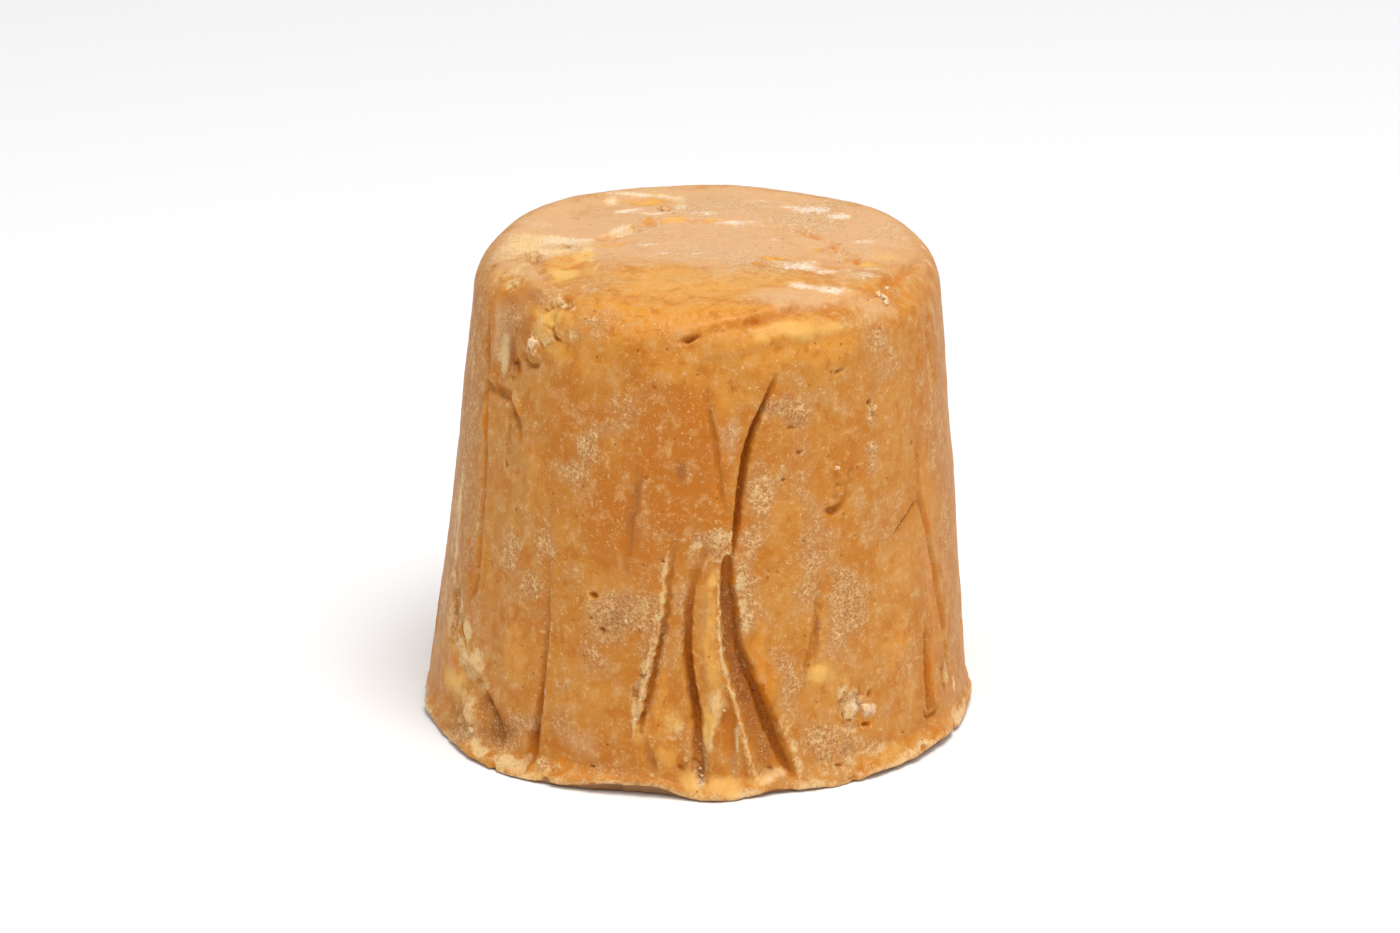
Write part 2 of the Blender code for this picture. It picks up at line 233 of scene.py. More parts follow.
        (70, 85.5, 0.4, 0.3), (67, 83.5, 0.6, 0.7), (66.4, 80.5, 0.6, 0.7), (67.2, 77.5, 0.6, 0.7),
        (68.2, 74.2, 0.5, 0.5), (69, 70, 0.3, 0.2),
    ]),
    "farRightLine2": crease(paintedShade=0.05, wobble=0.1, slopes=(0.3, 0.9), pale=(0, 0.3), path=[
        (61.4, 85.5, 0.3, 0.2), (60.4, 82, 0.5, 0.4), (60, 77, 0.4, 0.3), (60.4, 72, 0.3, 0.1),
    ]),
    "stainRight": crease(paintedShade=0.3, wobble=0.35, slopes=(0.15, 0.5), pale=(0.2, 0.3), path=[
        (26.6, 40.5, 0.2, 0.2), (25.9, 36.5, 0.45, 0.6), (25.5, 32, 0.5, 0.7), (24.6, 29, 0.5, 0.7),
        (23.9, 26.5, 0.4, 0.7), (22.8, 23.5, 0.3, 0.6), (22.5, 20, 0.2, 0.4),
    ]),
    "amberLine": crease(paintedShade=0.45, wobble=0.1, slopes=(0.6, 0.3), pale=(0, 0.15), path=[
        (-0.6, 79, 0.2, 0.2), (0.5, 74.5, 0.35, 0.6), (1.6, 71, 0.4, 0.8), (2.5, 66, 0.45, 0.9),
        (3.1, 62, 0.4, 0.8), (3.6, 58.5, 0.35, 0.6), (4, 54.5, 0.25, 0.15),
    ]),
    "slit5": crease(paintedShade=0.6, wobble=0.05, slopes=(0.15, 0.2), pale=(0.1, 0.1), path=[
        (31, 80.3, 0.2, 0.3), (31.9, 80.6, 0.32, 0.7), (33, 80.8, 0.28, 0.6), (34, 81, 0.12, 0.2),
    ]),
    "worm": crease(paintedShade=0.35, wobble=0.12, slopes=(0.3, 0.9), pale=(0.2, 0), path=[
        (34.8, 61, 0.4, 0.4), (34.4, 58.5, 0.6, 0.7), (33.4, 56, 0.6, 0.9), (31.6, 54.4, 0.6, 1.5),
        (30, 54, 0.6, 1.6), (28.7, 54.3, 0.3, 0.6),
    ]),
    # the sides and the back, in the same manner
    "sideLine": crease(paintedShade=0.3, wobble=0.1, slopes=(0.15, 1.2), ledge=(0.5, 4), pale=(0.3, 0), path=[
        (104, 76, 0.3, 0.2), (102, 66, 0.5, 0.9), (99.5, 52, 0.6, 1.1), (97.5, 40, 0.5, 0.9),
        (98, 29, 0.3, 0.3),
    ]),
    "backFan1": crease(
        paintedShade=0.6, wobble=0.18, slopes=(0.25, 1.2), footSlopes=(0.3, 2), pale=(0.8, 0), path=[
        (131, 50, 0.5, 0.5), (129.5, 44, 0.7, 1.6), (128, 34, 0.9, 2.2), (129, 24, 1.2, 2.3),
        (131.5, 13, 1.8, 2), (134.5, 5, 2.4, 1.2),
    ]),
    "backFan2": crease(paintedShade=0.85, wobble=0.15, slopes=(0.8, 0.2), pale=(0.2, 0.5), path=[
        (121.5, 47, 0.3, 0.3), (121, 40, 0.5, 1.3), (120.4, 31, 0.55, 1.9), (121, 20, 0.65, 2),
        (123, 9, 0.6, 1.1),
    ]),
    "backFan3": crease(paintedShade=0.6, wobble=0.2, slopes=(0.15, 0.7), ledge=(0.4, 3), pale=(0.7, 0), path=[
        (138, 43, 0.3, 0.3), (139.5, 34, 0.4, 1.1), (141, 24, 0.45, 1.5), (144, 13, 0.5, 1.3),
        (147.5, 5, 0.4, 0.6),
    ]),
    "backSlit": crease(paintedShade=1, wobble=0.12, slopes=(0.15, 0.15), pale=(0.2, 0.3), path=[
        (158.5, 83, 0.25, 0.4), (157, 77, 0.45, 1.6), (154.4, 67, 0.55, 2.4), (152.4, 57, 0.58, 2.4),
        (152.2, 48, 0.5, 2), (153, 42, 0.3, 0.8),
    ]),
    "backFold": crease(paintedShade=0.5, wobble=0.2, slopes=(1.2, 0.2), ledge=(-0.6, 4), pale=(0, 0.4), path=[
        (-170, 63, 0.3, 0.3), (-167.5, 52, 0.5, 1), (-166, 40, 0.6, 1.3), (-168, 26, 0.6, 1.4),
        (-172, 12, 0.8, 1.3), (-174, 4, 0.8, 0.9),
    ]),
    "backLedge": crease(paintedShade=0.5, wobble=0.14, slopes=(0.2, 1.2), ledge=(0.7, 4), pale=(0.5, 0), path=[
        (-142, 81, 0.3, 0.2), (-140, 73, 0.5, 1), (-138, 61, 0.55, 1.3), (-138.5, 48, 0.55, 1.4),
        (-141.5, 33, 0.7, 1.5), (-143.5, 18, 0.8, 1.5), (-142, 6, 0.8, 1),
    ]),
    "sideFold1": crease(
        paintedShade=0.75, wobble=0.15, slopes=(0.25, 0.8), footSlopes=(0.3, 1.8), pale=(0.6, 0.1), path=[
        (-112.5, 55, 0.3, 0.3), (-110.5, 46, 0.55, 1.5), (-109, 36, 0.65, 2.2), (-110, 24, 0.85, 2.2),
        (-113.5, 13, 1.1, 1.7), (-117, 4.5, 1.4, 1),
    ]),
    "sideFold2": crease(paintedShade=0.6, wobble=0.18, slopes=(0.15, 0.7), ledge=(0.4, 3), pale=(0.7, 0), path=[
        (-101, 41, 0.3, 0.3), (-101.5, 32, 0.4, 1.2), (-100, 22, 0.45, 1.5), (-97.5, 12, 0.5, 1.2),
        (-96, 6, 0.4, 0.6),
    ]),
}

# Creases of the top: x, y, half width and depth
topCreases = {
    "diagonal": crease(paintedShade=0.12, wobble=0.2, slopes=(0.9, 0.2), ledge=(-0.3, 4), pale=(0, 0.9), path=[
        (-22.5, 2.8, 0.3, 0.2), (-20, 3.8, 0.7, 0.6), (-17.6, 5, 0.8, 0.8), (-14.8, 9.3, 0.9, 0.9),
        (-13.3, 12.6, 0.8, 0.8), (-10.8, 15.4, 0.5, 0.4),
    ]),
    "diagonal2": crease(paintedShade=0.08, wobble=0.2, slopes=(0.5, 0.3), pale=(0.3, 0.2), path=[
        (-14, 1.6, 0.4, 0.2), (-15.8, 0.5, 0.9, 0.6), (-18.3, 0, 0.9, 0.7), (-20.4, -1.4, 0.4, 0.3),
    ]),
    "amberGroove": crease(paintedShade=0.08, wobble=0.2, slopes=(0.5, 0.4), pale=(0.2, 0.3), path=[
        (-9.8, 12.2, 0.5, 0.3), (-8, 13.3, 1, 0.8), (-3.8, 13.5, 1.1, 1), (0.2, 13.3, 0.9, 0.8),
        (3, 14, 0.4, 0.3),
    ]),
    "leaf": crease(paintedShade=0.15, wobble=0.2, slopes=(2.2, 0.2), ledge=(-0.5, 4.5), pale=(0, 0.6), path=[
        (28.6, -12.5, 0.3, 0.2), (27.6, -9.8, 0.5, 0.6), (25.8, -5, 0.6, 0.9), (23.3, -1, 0.6, 0.9),
        (20.5, 3.8, 0.6, 0.8), (18.4, 7.2, 0.8, 0.8), (15.6, 8.8, 0.9, 0.7), (12.9, 9.8, 0.9, 0.5),
        (9.5, 9.4, 0.5, 0.2),
    ]),
    "shortLine": crease(paintedShade=0.2, wobble=0.05, slopes=(0.2, 0.2), pale=(0, 0.4), path=[
        (-32, 20.4, 0.2, 0.2), (-29.5, 21, 0.3, 0.4), (-27.6, 21.3, 0.35, 0.5),
    ]),
    "farStep": crease(paintedShade=0.05, wobble=0.3, slopes=(1.5, 0.4), ledge=(0.35, 5), pale=(0.2, 0), path=[
        (-24, -30, 0.4, 0.2), (-31, -19, 0.8, 0.4), (-34, -6, 0.8, 0.4), (-35, 5, 0.4, 0.2),
    ]),
}

# Raised bands. Each point of a path is angle, run, half width and height.
ridges = {
    "lowLeftBand": {"pale": 0.5, "path": [
        (-67.5, 21, 1.2, 0.2), (-64, 19.4, 1.8, 0.5), (-60, 18.4, 1.8, 0.5), (-56, 17.4, 1.6, 0.5),
        (-52.6, 15.8, 1, 0.2),
    ]},
    "lowLeftPlate": {"pale": 0.4, "path": [
        (-61, 12.6, 1.6, 0.2), (-58, 10, 2.6, 0.9), (-54.6, 7, 2.4, 0.9), (-51.5, 4.4, 1.6, 0.4),
    ]},
    "rib": {"pale": 0.45, "path": [
        (7.9, 19, 0.4, 0.3), (8.6, 15.4, 0.55, 0.7), (9.4, 11, 0.6, 0.8), (10.3, 6.5, 0.6, 0.7),
        (10.8, 3, 0.5, 0.4),
    ]},
    "ribbon": {"pale": 0, "path": [
        (2.2, 47, 0.6, 0.1), (2, 40, 0.9, 0.6), (1.6, 33, 1.1, 0.8), (2.2, 26, 1.4, 0.9),
        (3.4, 19, 1.3, 0.8), (3, 12, 1, 0.8), (3.4, 5, 1, 0.4),
    ]},
    "rimRidge": {"pale": 0, "path": [
        (-3, 86, 1.6, 0.1), (6, 88, 2, 0.9), (16, 89.6, 2.3, 1.3), (27, 89.8, 2.2, 1.1),
        (38, 89.4, 2, 0.5), (46, 89.6, 1.8, 0.1),
    ]},
    "ledgeEdge": {"pale": 0.2, "path": [
        (-63.4, 88, 0.6, 0.1), (-62.6, 80, 0.8, 0.5), (-61.2, 72.5, 0.7, 0.4), (-58.6, 54, 0.7, 0.3),
        (-56.8, 40, 0.6, 0.5), (-56.4, 33, 0.6, 0.5), (-58.2, 29.8, 0.5, 0.4), (-61, 28.2, 0.4, 0.1),
    ]},
    "crease2Edge": {"pale": 0.3, "path": [
        (-33.8, 30, 0.4, 0.1), (-33.6, 18, 0.5, 0.4), (-34, 9, 0.5, 0.5), (-34.2, 3, 0.5, 0.3),
    ]},
    "groove3Edge": {"pale": 0.7, "path": [
        (-9.6, 36, 0.3, 0.1), (-10.6, 30, 0.35, 0.3), (-11.7, 24, 0.5, 0.5), (-12.6, 19, 0.5, 0.55),
        (-13.3, 15, 0.5, 0.5), (-13.6, 11, 0.3, 0.1),
    ]},
    "tongue": {"pale": 0.3, "path": [
        (-52.6, 75, 0.6, 0.2), (-51, 71.8, 0.7, 0.8), (-49.2, 69.8, 0.6, 0.8), (-48.2, 68.6, 0.3, 0.3),
    ]},
    "scar": {"pale": 0.15, "path": [
        (-13.4, 65, 0.3, 0.15), (-13.9, 62, 0.45, 0.5), (-14.6, 59, 0.4, 0.4), (-14.8, 56.6, 0.3, 0.3),
        (-14.3, 54.6, 0.25, 0.1),
    ]},
    "footLip": {"pale": 0, "path": [
        (-34, 1.4, 0.7, 0.2), (-24, 1.6, 0.8, 0.6), (-14, 1.8, 0.8, 0.6), (-5, 1.8, 0.8, 0.5),
        (0, 1.6, 0.7, 0.2),
    ]},
}

# Small holes: angle, run, half width, half height, depth
pits = [
    (-24.5, 38.2, 0.95, 0.65, 1.5), (-21.6, 32, 0.8, 0.5, 1.2), (-24.8, 33.8, 0.5, 0.3, 0.8),
    (-9, 46.2, 0.5, 0.28, 0.8), (-13.5, 32.6, 0.35, 0.2, 0.5), (-52.5, 58.5, 0.6, 0.7, 1),
    (-47.5, 51, 0.4, 0.5, 0.8), (19.5, 71, 1.1, 0.3, 0.7), (22, 66.5, 0.8, 0.45, 0.9),
    (18, 61.5, 0.5, 0.5, 0.8), (13.8, 56.5, 0.8, 0.35, 0.5), (56, 62, 0.5, 0.6, 1),
    (22.5, 49, 0.3, 0.3, 0.6), (41, 73, 0.7, 0.6, 1.1), (14.5, 44, 0.25, 0.25, 0.6),
    (16.2, 43.5, 0.25, 0.35, 0.7), (17, 45.6, 0.2, 0.25, 0.5), (30, 3.6, 1, 0.4, 1),
    (48, 6, 0.5, 0.35, 0.8), (-14, 62, 0.25, 0.45, 0.7), (74, 42.5, 0.6, 0.8, 0.6),
    (37.6, 10.2, 1.1, 0.6, 1.5), (-36.8, 2.4, 0.7, 0.5, 1.2), (-3.6, 6, 0.8, 0.7, 0.9),
    (-82, 91.5, 0.6, 0.8, 0.9), (-74, 92.5, 0.7, 1.2, 0.9), (38.6, 16, 0.6, 0.9, 0.8),
    (82.5, 17.4, 2.6, 0.8, 1.5), (84, 21, 1.6, 2.6, 0.7), (-19, 9.6, 0.4, 0.3, 0.7),
    (-22, 4.5, 0.7, 0.4, 0.9), (24, 79, 0.3, 0.3, 0.4), (-35, 61, 0.3, 0.2, 0.4),
    (-28, 53, 0.3, 0.25, 0.4), (46, 36, 0.3, 0.25, 0.4), (-42, 30, 0.25, 0.3, 0.4),
    (36, 48, 0.3, 0.3, 0.4), (-31, 0.8, 1, 0.8, 0.7), (-44, 0.6, 0.8, 0.8, 0.6), (33, 0.8, 1.3, 0.8, 0.6),
    (52, 0.8, 1.2, 0.8, 0.7), (66, 0.8, 1, 0.9, 0.6), (-21, 0.6, 0.7, 0.6, 0.4), (118, 70, 0.6, 0.5, 0.9),
    (170, 40, 0.5, 0.7, 0.9), (-125, 66, 0.6, 0.5, 0.8), (-95, 60, 0.4, 0.4, 0.7),
    (-160, 75, 0.6, 0.4, 0.8), (108, 20, 0.7, 0.5, 0.9), (-178, 28, 0.5, 0.4, 0.7),
    (-88, 72, 0.4, 0.6, 0.7), (145, 62, 0.5, 0.4, 0.7), (-152, 50, 0.45, 0.6, 0.8),
]
# x, y, half width, half depth, depth
topPits = [
    (-12.8, 27, 5.6, 3, 0.9), (-27, -13, 4.6, 8.6, 0.9), (-24.5, -7, 1.8, 2.6, 0.6),
    (19.9, -4, 1.2, 1.3, 0.5), (12.1, -10.9, 2.2, 1, 0.5), (9.1, -14.1, 0.9, 0.8, 0.3),
    (-9, 22, 1.2, 1, 0.6), (31, -10.5, 3, 2.4, 0.4), (-8, 29, 1.4, 0.8, 0.3),
]

# Raised lumps: angle, run, half width, half height, height
lumps = [
    (30.6, 62, 0.8, 0.7, 0.5), (33.2, 63.4, 0.6, 0.6, 0.35), (32.6, 60, 0.8, 0.9, 0.35),
    (31.4, 57.6, 0.9, 1.1, 0.5), (30, 55.6, 0.7, 0.5, 0.5), (33.6, 59.6, 0.5, 0.6, 0.4),
    (-44.4, 92.6, 1.8, 1.2, 0.5), (-46.4, 83, 1.3, 1.7, 0.7), (-45, 88, 1.2, 1.3, 0.3),
    (-39, 89.6, 1.4, 1.4, 0.3), (-48.5, 88.6, 1, 0.8, 0.25), (-55.5, 86, 2.2, 2, 0.3),
    (-36, 92, 1.6, 1.2, 0.25), (-33, 88, 1.4, 1, 0.2), (-28, 91, 1.6, 1, 0.2), (-72, 92.6, 1.2, 1, 0.5),
    (40.8, 64.6, 0.5, 0.5, 0.35), (41, 60.4, 0.6, 0.9, 0.3), (42, 72, 0.6, 0.4, 0.5),
    (41, 69.4, 0.5, 1, 0.35), (26, 22.8, 1.4, 1.4, 0.25), (33.2, 17, 1.3, 1.2, 0.22),
    (34.6, 14, 1.4, 2, 0.22), (33, 10.8, 1.6, 1.2, 0.2), (-60, 10.6, 2.2, 3, 0.5),
    (-56.4, 7, 2, 3.4, 0.6), (-64, 11.6, 2, 2.6, 0.5), (-67.6, 15, 2, 2.4, 0.4), (-2.4, 8, 0.6, 0.5, 0.5),
    (21.4, 67.4, 0.5, 0.4, 0.3), (-13, 33.4, 0.6, 0.4, 0.25), (-53.6, 4.6, 0.8, 0.7, 0.5),
    (17, 71.8, 0.5, 0.3, 0.3), (76, 44, 0.8, 1.6, 0.3),
]

# Where the surface changes. Wall: angle, run, half width, half height, strength.
wallPaint = {
    "amber": [
        (58, 15, 1.7, 7.5, 1), (57.4, 21, 1, 3, 0.9), (-65.8, 80, 1, 9, 1), (-64.2, 68, 0.9, 10, 1),
        (-62, 57, 0.8, 10, 0.9), (-60, 46, 0.8, 8, 0.7), (61.6, 40, 1, 12, 0.9), (64.6, 26, 1, 8, 0.9),
        (-36.4, 4, 1.2, 2.4, 0.9), (-19, 9.4, 1, 0.9, 0.8), (-29, 4.6, 1.4, 0.9, 0.9),
        (38, 10.2, 1.8, 1, 1), (-9.4, 12.6, 1.8, 4, 0.6), (6.2, 13, 1.2, 6, 0.8), (11.6, 27, 1, 7, 0.7),
        (14.8, 20, 1, 6, 0.7), (-24.5, 38.2, 1.1, 0.8, 0.9), (-21.6, 32, 1, 0.7, 0.8),
        (-2.2, 76, 3, 8, 0.4), (3, 66, 0.8, 12, 0.6), (16, 91, 8, 1.6, 0.5), (66, 95, 12, 1, 0.6),
        (-67, 14.6, 3.6, 1.6, 0.9), (-31, 91.5, 6, 1.2, 0.4), (-30, 84, 8, 1.2, 0.4),
        (-47, 88, 2, 3, 0.5), (31, 54, 1.6, 1.2, 0.6), (-12, 80, 6, 1, 0.3), (102, 60, 1.2, 14, 0.6),
        (152, 60, 1, 12, 0.5), (-110, 30, 1, 12, 0.6),
    ],
    "deep": [
        (-6, 65, 13, 18, 1), (-22, 54, 8, 14, 0.8), (-12, 50, 6, 8, 0.6), (2, 56, 8, 10, 0.6),
        (-34, 72, 8, 8, 0.6), (-16, 84, 8, 4, 0.6), (-11, 44, 7, 5, 0.7), (-22, 74, 8, 7, 0.5),
        (44, 70, 6, 10, 0.3), (27, 55, 6, 10, 0.3), (-50, 30, 5, 12, 0.3), (120, 70, 14, 16, 0.6),
        (-150, 60, 14, 18, 0.6),
    ],
    # near run 97 to 100 round the rim: paler sugar, partly painted sheen; near run 89 on the front: painted
    # highlight on the rim ridge
    "pale": [
        (5.5, 70, 2.6, 6, 0.5), (-25, 9, 5, 3.4, 0.5), (-38, 12, 3, 3, 0.3), (16, 89.4, 9, 2.2, 0.6),
        (32, 89.2, 8, 2.2, 0.5), (-115, 99, 18, 6, 1), (112, 99, 16, 6, 1), (155, 100, 18, 6, 1),
        (-160, 100, 16, 6, 1), (18, 97.5, 10, 3, 0.8), (33, 97, 9, 3, 0.9), (-20, 97.5, 8, 2.4, 0.4),
        (-66, 98, 10, 3, 0.8), (-40, 97, 8, 3, 0.4), (48, 99, 12, 4, 0.5), (80, 98, 14, 6, 0.5),
        (-90, 97, 16, 6, 0.8), (130, 100, 20, 5, 0.8), (180, 100, 20, 5, 0.8), (-135, 100, 20, 5, 0.8),
        (-63, 82, 4, 8, 0.5),
    ],
    "torn": [
        (-45, 87, 4.6, 5.4, 0.55), (-42, 92, 4, 2.4, 0.6), (-54, 79, 4, 5, 0.6), (-66, 92.4, 5, 3, 0.6),
        (-62, 4, 5, 4, 0.7), (-68, 20, 3, 5, 0.6), (-46, 7.5, 4.5, 3.6, 0.6), (-69, 26, 3, 6, 0.8),
        (-38, 3, 3, 2.4, 0.6), (33.8, 15, 2.4, 3.4, 0.8), (33.6, 11, 2.2, 1.6, 0.6), (0, 7, 1.4, 4, 0.5),
        (66, 12, 2.2, 4, 0.5), (31, 58, 1.2, 4, 0.4), (-12.7, 20, 0.9, 7, 0.7), (4, 14, 1.2, 5, 0.55),
        (1, 5, 1.6, 3, 0.8), (14, 4, 2, 2, 0.6), (-9.8, 4, 1.4, 2.4, 0.5), (-36, 8, 1.2, 5, 0.5),
        (155, 14, 7, 6, 0.8), (-128, 10, 7, 5, 0.9), (-138, 84, 6, 5, 0.5), (100, 12, 5, 4, 0.7),
        (175, 86, 6, 4, 0.6), (-88, 18, 5, 6, 0.5),
    ],
    "cream": [
        (-46.4, 83.4, 1.7, 1.8, 1), (-46, 87.5, 1.8, 2.6, 0.7), (-42.6, 93, 3, 1.2, 0.9),
        (-44, 80.4, 1, 2, 0.6), (-31, 91, 3, 1.6, 0.35), (-58.5, 79, 2.3, 5, 0.9),
        (-66, 93, 2.4, 1.6, 0.6), (-50, 92, 2.4, 1.6, 0.5), (-64, 19.4, 3.4, 1.5, 0.9),
        (-59.6, 18.4, 3.4, 1.4, 0.9), (-55, 17.4, 3, 1.2, 0.8), (-66.5, 24, 1.8, 3.6, 0.8),
        (-61.6, 16.6, 2.8, 1.7, 1), (-57.6, 15.2, 2.8, 1.5, 1), (-52.4, 13.8, 2.4, 1.5, 0.8),
        (-55.6, 8.6, 2.6, 4.2, 0.8), (-54.6, 3.6, 2.8, 1.4, 0.9), (-50.5, 2.4, 4.4, 1.4, 1),
        (-41, 2, 4.6, 1.4, 1), (-36, 0.8, 4, 0.9, 0.9), (18.6, 12.6, 0.8, 2.2, 0.7),
        (19.9, 9, 0.9, 2.2, 0.8), (21.3, 5.4, 1.2, 2.2, 0.8), (-73, 30, 3.2, 1.8, 0.9),
        (-67, 26.6, 2.8, 2, 1), (-61, 23, 2.6, 2.4, 1), (-56, 19, 2.4, 2, 1), (-1.5, 49.6, 1.9, 0.8, 1),
        (3, 50.6, 1.7, 0.9, 1), (6, 51.2, 0.8, 1.5, 0.8), (-60, 12, 7, 8, 0.3), (-79, 40, 2.4, 12, 0.5),
        (-75, 44, 1.8, 9, 0.9), (-74, 35, 2.4, 4, 0.9), (-80, 24, 3, 8, 0.5), (-71, 22, 2, 6, 0.6),
        (-12.6, 23, 0.8, 5, 0.9), (-13.4, 17, 0.8, 3.5, 0.8), (3.5, 40, 0.35, 6, 0.7),
        (4.1, 33, 0.35, 5, 0.7), (4.9, 27.6, 0.4, 3.4, 0.7), (6.5, 23.4, 0.4, 2.6, 0.7),
        (7.6, 20, 0.5, 2.6, 0.7), (3.6, 18, 1.7, 4, 0.9), (2.4, 12, 0.9, 4, 0.9),
        (8.2, 12.5, 0.7, 5, 0.7), (8.4, 42, 1.2, 2.4, 1), (8.8, 37.4, 1.3, 1.6, 1),
        (9.8, 33.8, 0.7, 2, 1), (14.6, 3.4, 4, 1.8, 1), (17.4, 13, 0.7, 4, 0.6),
        (-4.6, 13, 1.6, 2.6, 0.7), (32, 17.6, 1.9, 1.3, 0.8), (34, 14.4, 2.4, 3.2, 1),
        (33.4, 10.4, 2.4, 1.4, 0.9), (35, 4.6, 5.4, 1.4, 0.6), (41, 4.6, 2.2, 1.9, 0.7),
        (28, 3, 5, 1.6, 0.4), (71.4, 8, 1.2, 3, 0.8), (67, 12, 1.6, 3, 0.8), (51, 1.4, 10, 1.1, 0.8),
        (72, 1.8, 8, 1.6, 0.9), (35, 1.4, 5, 0.8, 0.5), (82, 2, 6, 1, 0.5), (-14.3, 60, 0.5, 2.5, 0.4),
        (-20, 1, 8, 0.8, 0.8), (-8, 1, 5, 0.7, 0.8), (0.4, 5.4, 1.6, 3.6, 1), (-44, 10.5, 2.6, 1.6, 0.5),
        (-28, 82, 1, 1.6, 0.35), (12.5, 57, 1.2, 5, 0.35), (9.5, 51, 1.2, 2, 0.5), (-128, 11, 6, 4, 0.8),
        (156, 12, 6, 5, 0.7), (-137, 86, 6, 4, 0.5), (100, 8, 6, 3, 0.6), (-92, 26, 4, 10, 0.5),
        (175, 86, 5, 3, 0.5), (120, 1.4, 14, 0.9, 0.7), (160, 1.4, 14, 0.9, 0.7),
        (-150, 1.4, 14, 0.9, 0.7), (-110, 1.4, 14, 0.9, 0.7), (-80, 1.4, 10, 0.9, 0.7),
    ],
    # the spots near run 89 on the front are partly the waxy ridge's yellow, partly a painted highlight on it
    "yellow": [
        (-64.4, 10.4, 6, 3.2, 1), (-61.5, 13, 2.6, 1.8, 0.8), (-67, 18, 2.4, 1.6, 0.6),
        (-43, 88.6, 3, 3.2, 0.8), (-40, 83.6, 3.4, 2.4, 0.5), (-37, 90, 3, 2.4, 0.4),
        (-74, 92.5, 5, 1.8, 0.4), (1.7, 42.4, 1.1, 2.4, 0.9), (1.6, 32, 1.5, 12, 0.55),
        (4, 18, 1.6, 4, 0.4), (1.8, 14, 1, 4, 0.9), (-5.5, 14.6, 1.8, 2.4, 0.6), (26, 22.8, 2.4, 2.3, 1),
        (28.8, 21.6, 1.8, 1.4, 0.5), (31.6, 19.8, 1.8, 1.2, 0.6), (65.2, 23, 0.7, 4.5, 1),
        (-1.5, 3.5, 2.4, 1.8, 0.8), (4, 2.4, 6, 1.6, 0.7), (13, 3, 4, 1.6, 0.7),
        (-45.6, 86, 2.2, 2.2, 0.7), (-48, 89.6, 2, 1.4, 0.5), (-33, 1.6, 4, 1.6, 0.5),
        (-12, 13, 2, 3, 0.5), (42, 3, 8, 2, 0.35), (7, 88.2, 2.6, 1.3, 0.4), (13, 89, 3, 1.6, 0.6),
        (21, 89.8, 5, 2, 0.8), (31, 89.4, 5, 1.8, 0.65), (41, 89, 3.4, 1.5, 0.4), (-7, 8, 3, 5, 0.4),
        (3, 24, 1.2, 8, 0.35), (-48, 79.8, 1, 1.5, 0.4), (154, 16, 3, 3, 0.7), (-139, 82, 3, 3, 0.8),
    ],
    "wax": [
        (0, 95, 20, 5, 1), (-22, 93, 12, 6, 0.9), (22, 92, 12, 4, 0.6), (14, 86, 8, 4, 1),
        (30, 86, 8, 4, 0.9), (-6, 83, 9, 4, 0.7), (4, 79, 5, 5, 0.7), (-37, 84, 2.6, 3, 1),
        (-29, 82, 5, 4, 0.7), (-7.5, 18, 1.5, 8, 1), (-6, 9, 2.4, 5, 1), (8, 67, 2.5, 9, 0.4),
        (-43, 62, 4, 7, 0.5), (-44, 24, 4.5, 9, 0.8), (-22, 20, 5, 5, 0.4), (47, 24, 5, 8, 0.7),
        (50, 14, 4, 5, 0.6), (12.4, 27, 1.4, 8, 1), (15, 21, 1.4, 6, 0.8), (2, 27, 1, 9, 0.7),
        (50, 97, 8, 4, 0.6), (60, 89, 4, 4, 0.6), (58.4, 14, 1.8, 8, 1), (61, 38, 1.4, 14, 0.8),
        (60, 2.6, 12, 1.4, 0.5), (-22, 3, 8, 2, 0.5), (4, 2, 6, 2, 0.6), (-65.6, 70, 1, 16, 0.8),
        (-68, 15, 2.6, 2.6, 1), (-64, 15, 2, 1.4, 0.7), (60, 60, 4, 10, 0.3), (140, 92, 20, 4, 0.3),
        (180, 88, 12, 5, 0.3),
    ],
    "bloom": [
        (-28, 66, 2.4, 3.6, 1), (-31, 61.6, 2.2, 2.6, 1), (-25, 70, 2, 2, 0.5), (-47, 42, 2.6, 3.6, 1),
        (-37, 46.5, 2.6, 6, 0.8), (-40, 37, 3.2, 2.6, 0.9), (-30, 41, 3, 3, 0.4), (-18, 35.4, 5.5, 4, 1),
        (-12, 37, 3, 3, 0.8), (-11.6, 31, 2, 6, 0.6), (-20, 31.6, 4.5, 2.6, 0.7),
        (-0.6, 50.4, 2.4, 1.6, 0.8), (3, 50.6, 2.2, 2, 1), (5.6, 48.6, 1.4, 1.2, 1),
        (12.5, 59, 2.8, 7, 0.9), (10, 50.6, 2, 4, 0.9), (9, 42, 1.8, 6, 0.9), (9.6, 35, 1.5, 3, 0.9),
        (17, 75.6, 4, 2.4, 1), (20.6, 73, 3.2, 3, 0.8), (33, 36.5, 4, 5.5, 1), (36, 33, 2.4, 5, 0.8),
        (31, 31, 3.4, 4, 0.8), (18.5, 25.6, 2.6, 2.4, 0.8), (20, 21, 2.4, 3, 0.9), (27, 9, 4, 3.6, 1),
        (33, 7, 4, 3, 0.9), (39, 5, 3.4, 2.4, 0.8), (-30, 13, 2.2, 5, 0.5), (-30.5, 19, 1.6, 2, 0.4),
        (-40, 9.6, 3.4, 2.4, 1), (-44, 6.6, 4.4, 3.6, 1), (-57.6, 3, 4, 2.4, 0.8),
        (-30.5, 91.5, 6, 2.2, 0.5), (-36, 86.4, 3.4, 1.6, 0.5), (5.5, 70, 2.4, 6, 0.6),
        (-50, 93, 5, 2.4, 0.6), (-58, 86, 4, 3, 0.6), (-32, 3, 3.4, 1.6, 0.7), (-20, 4, 4.6, 2, 0.6),
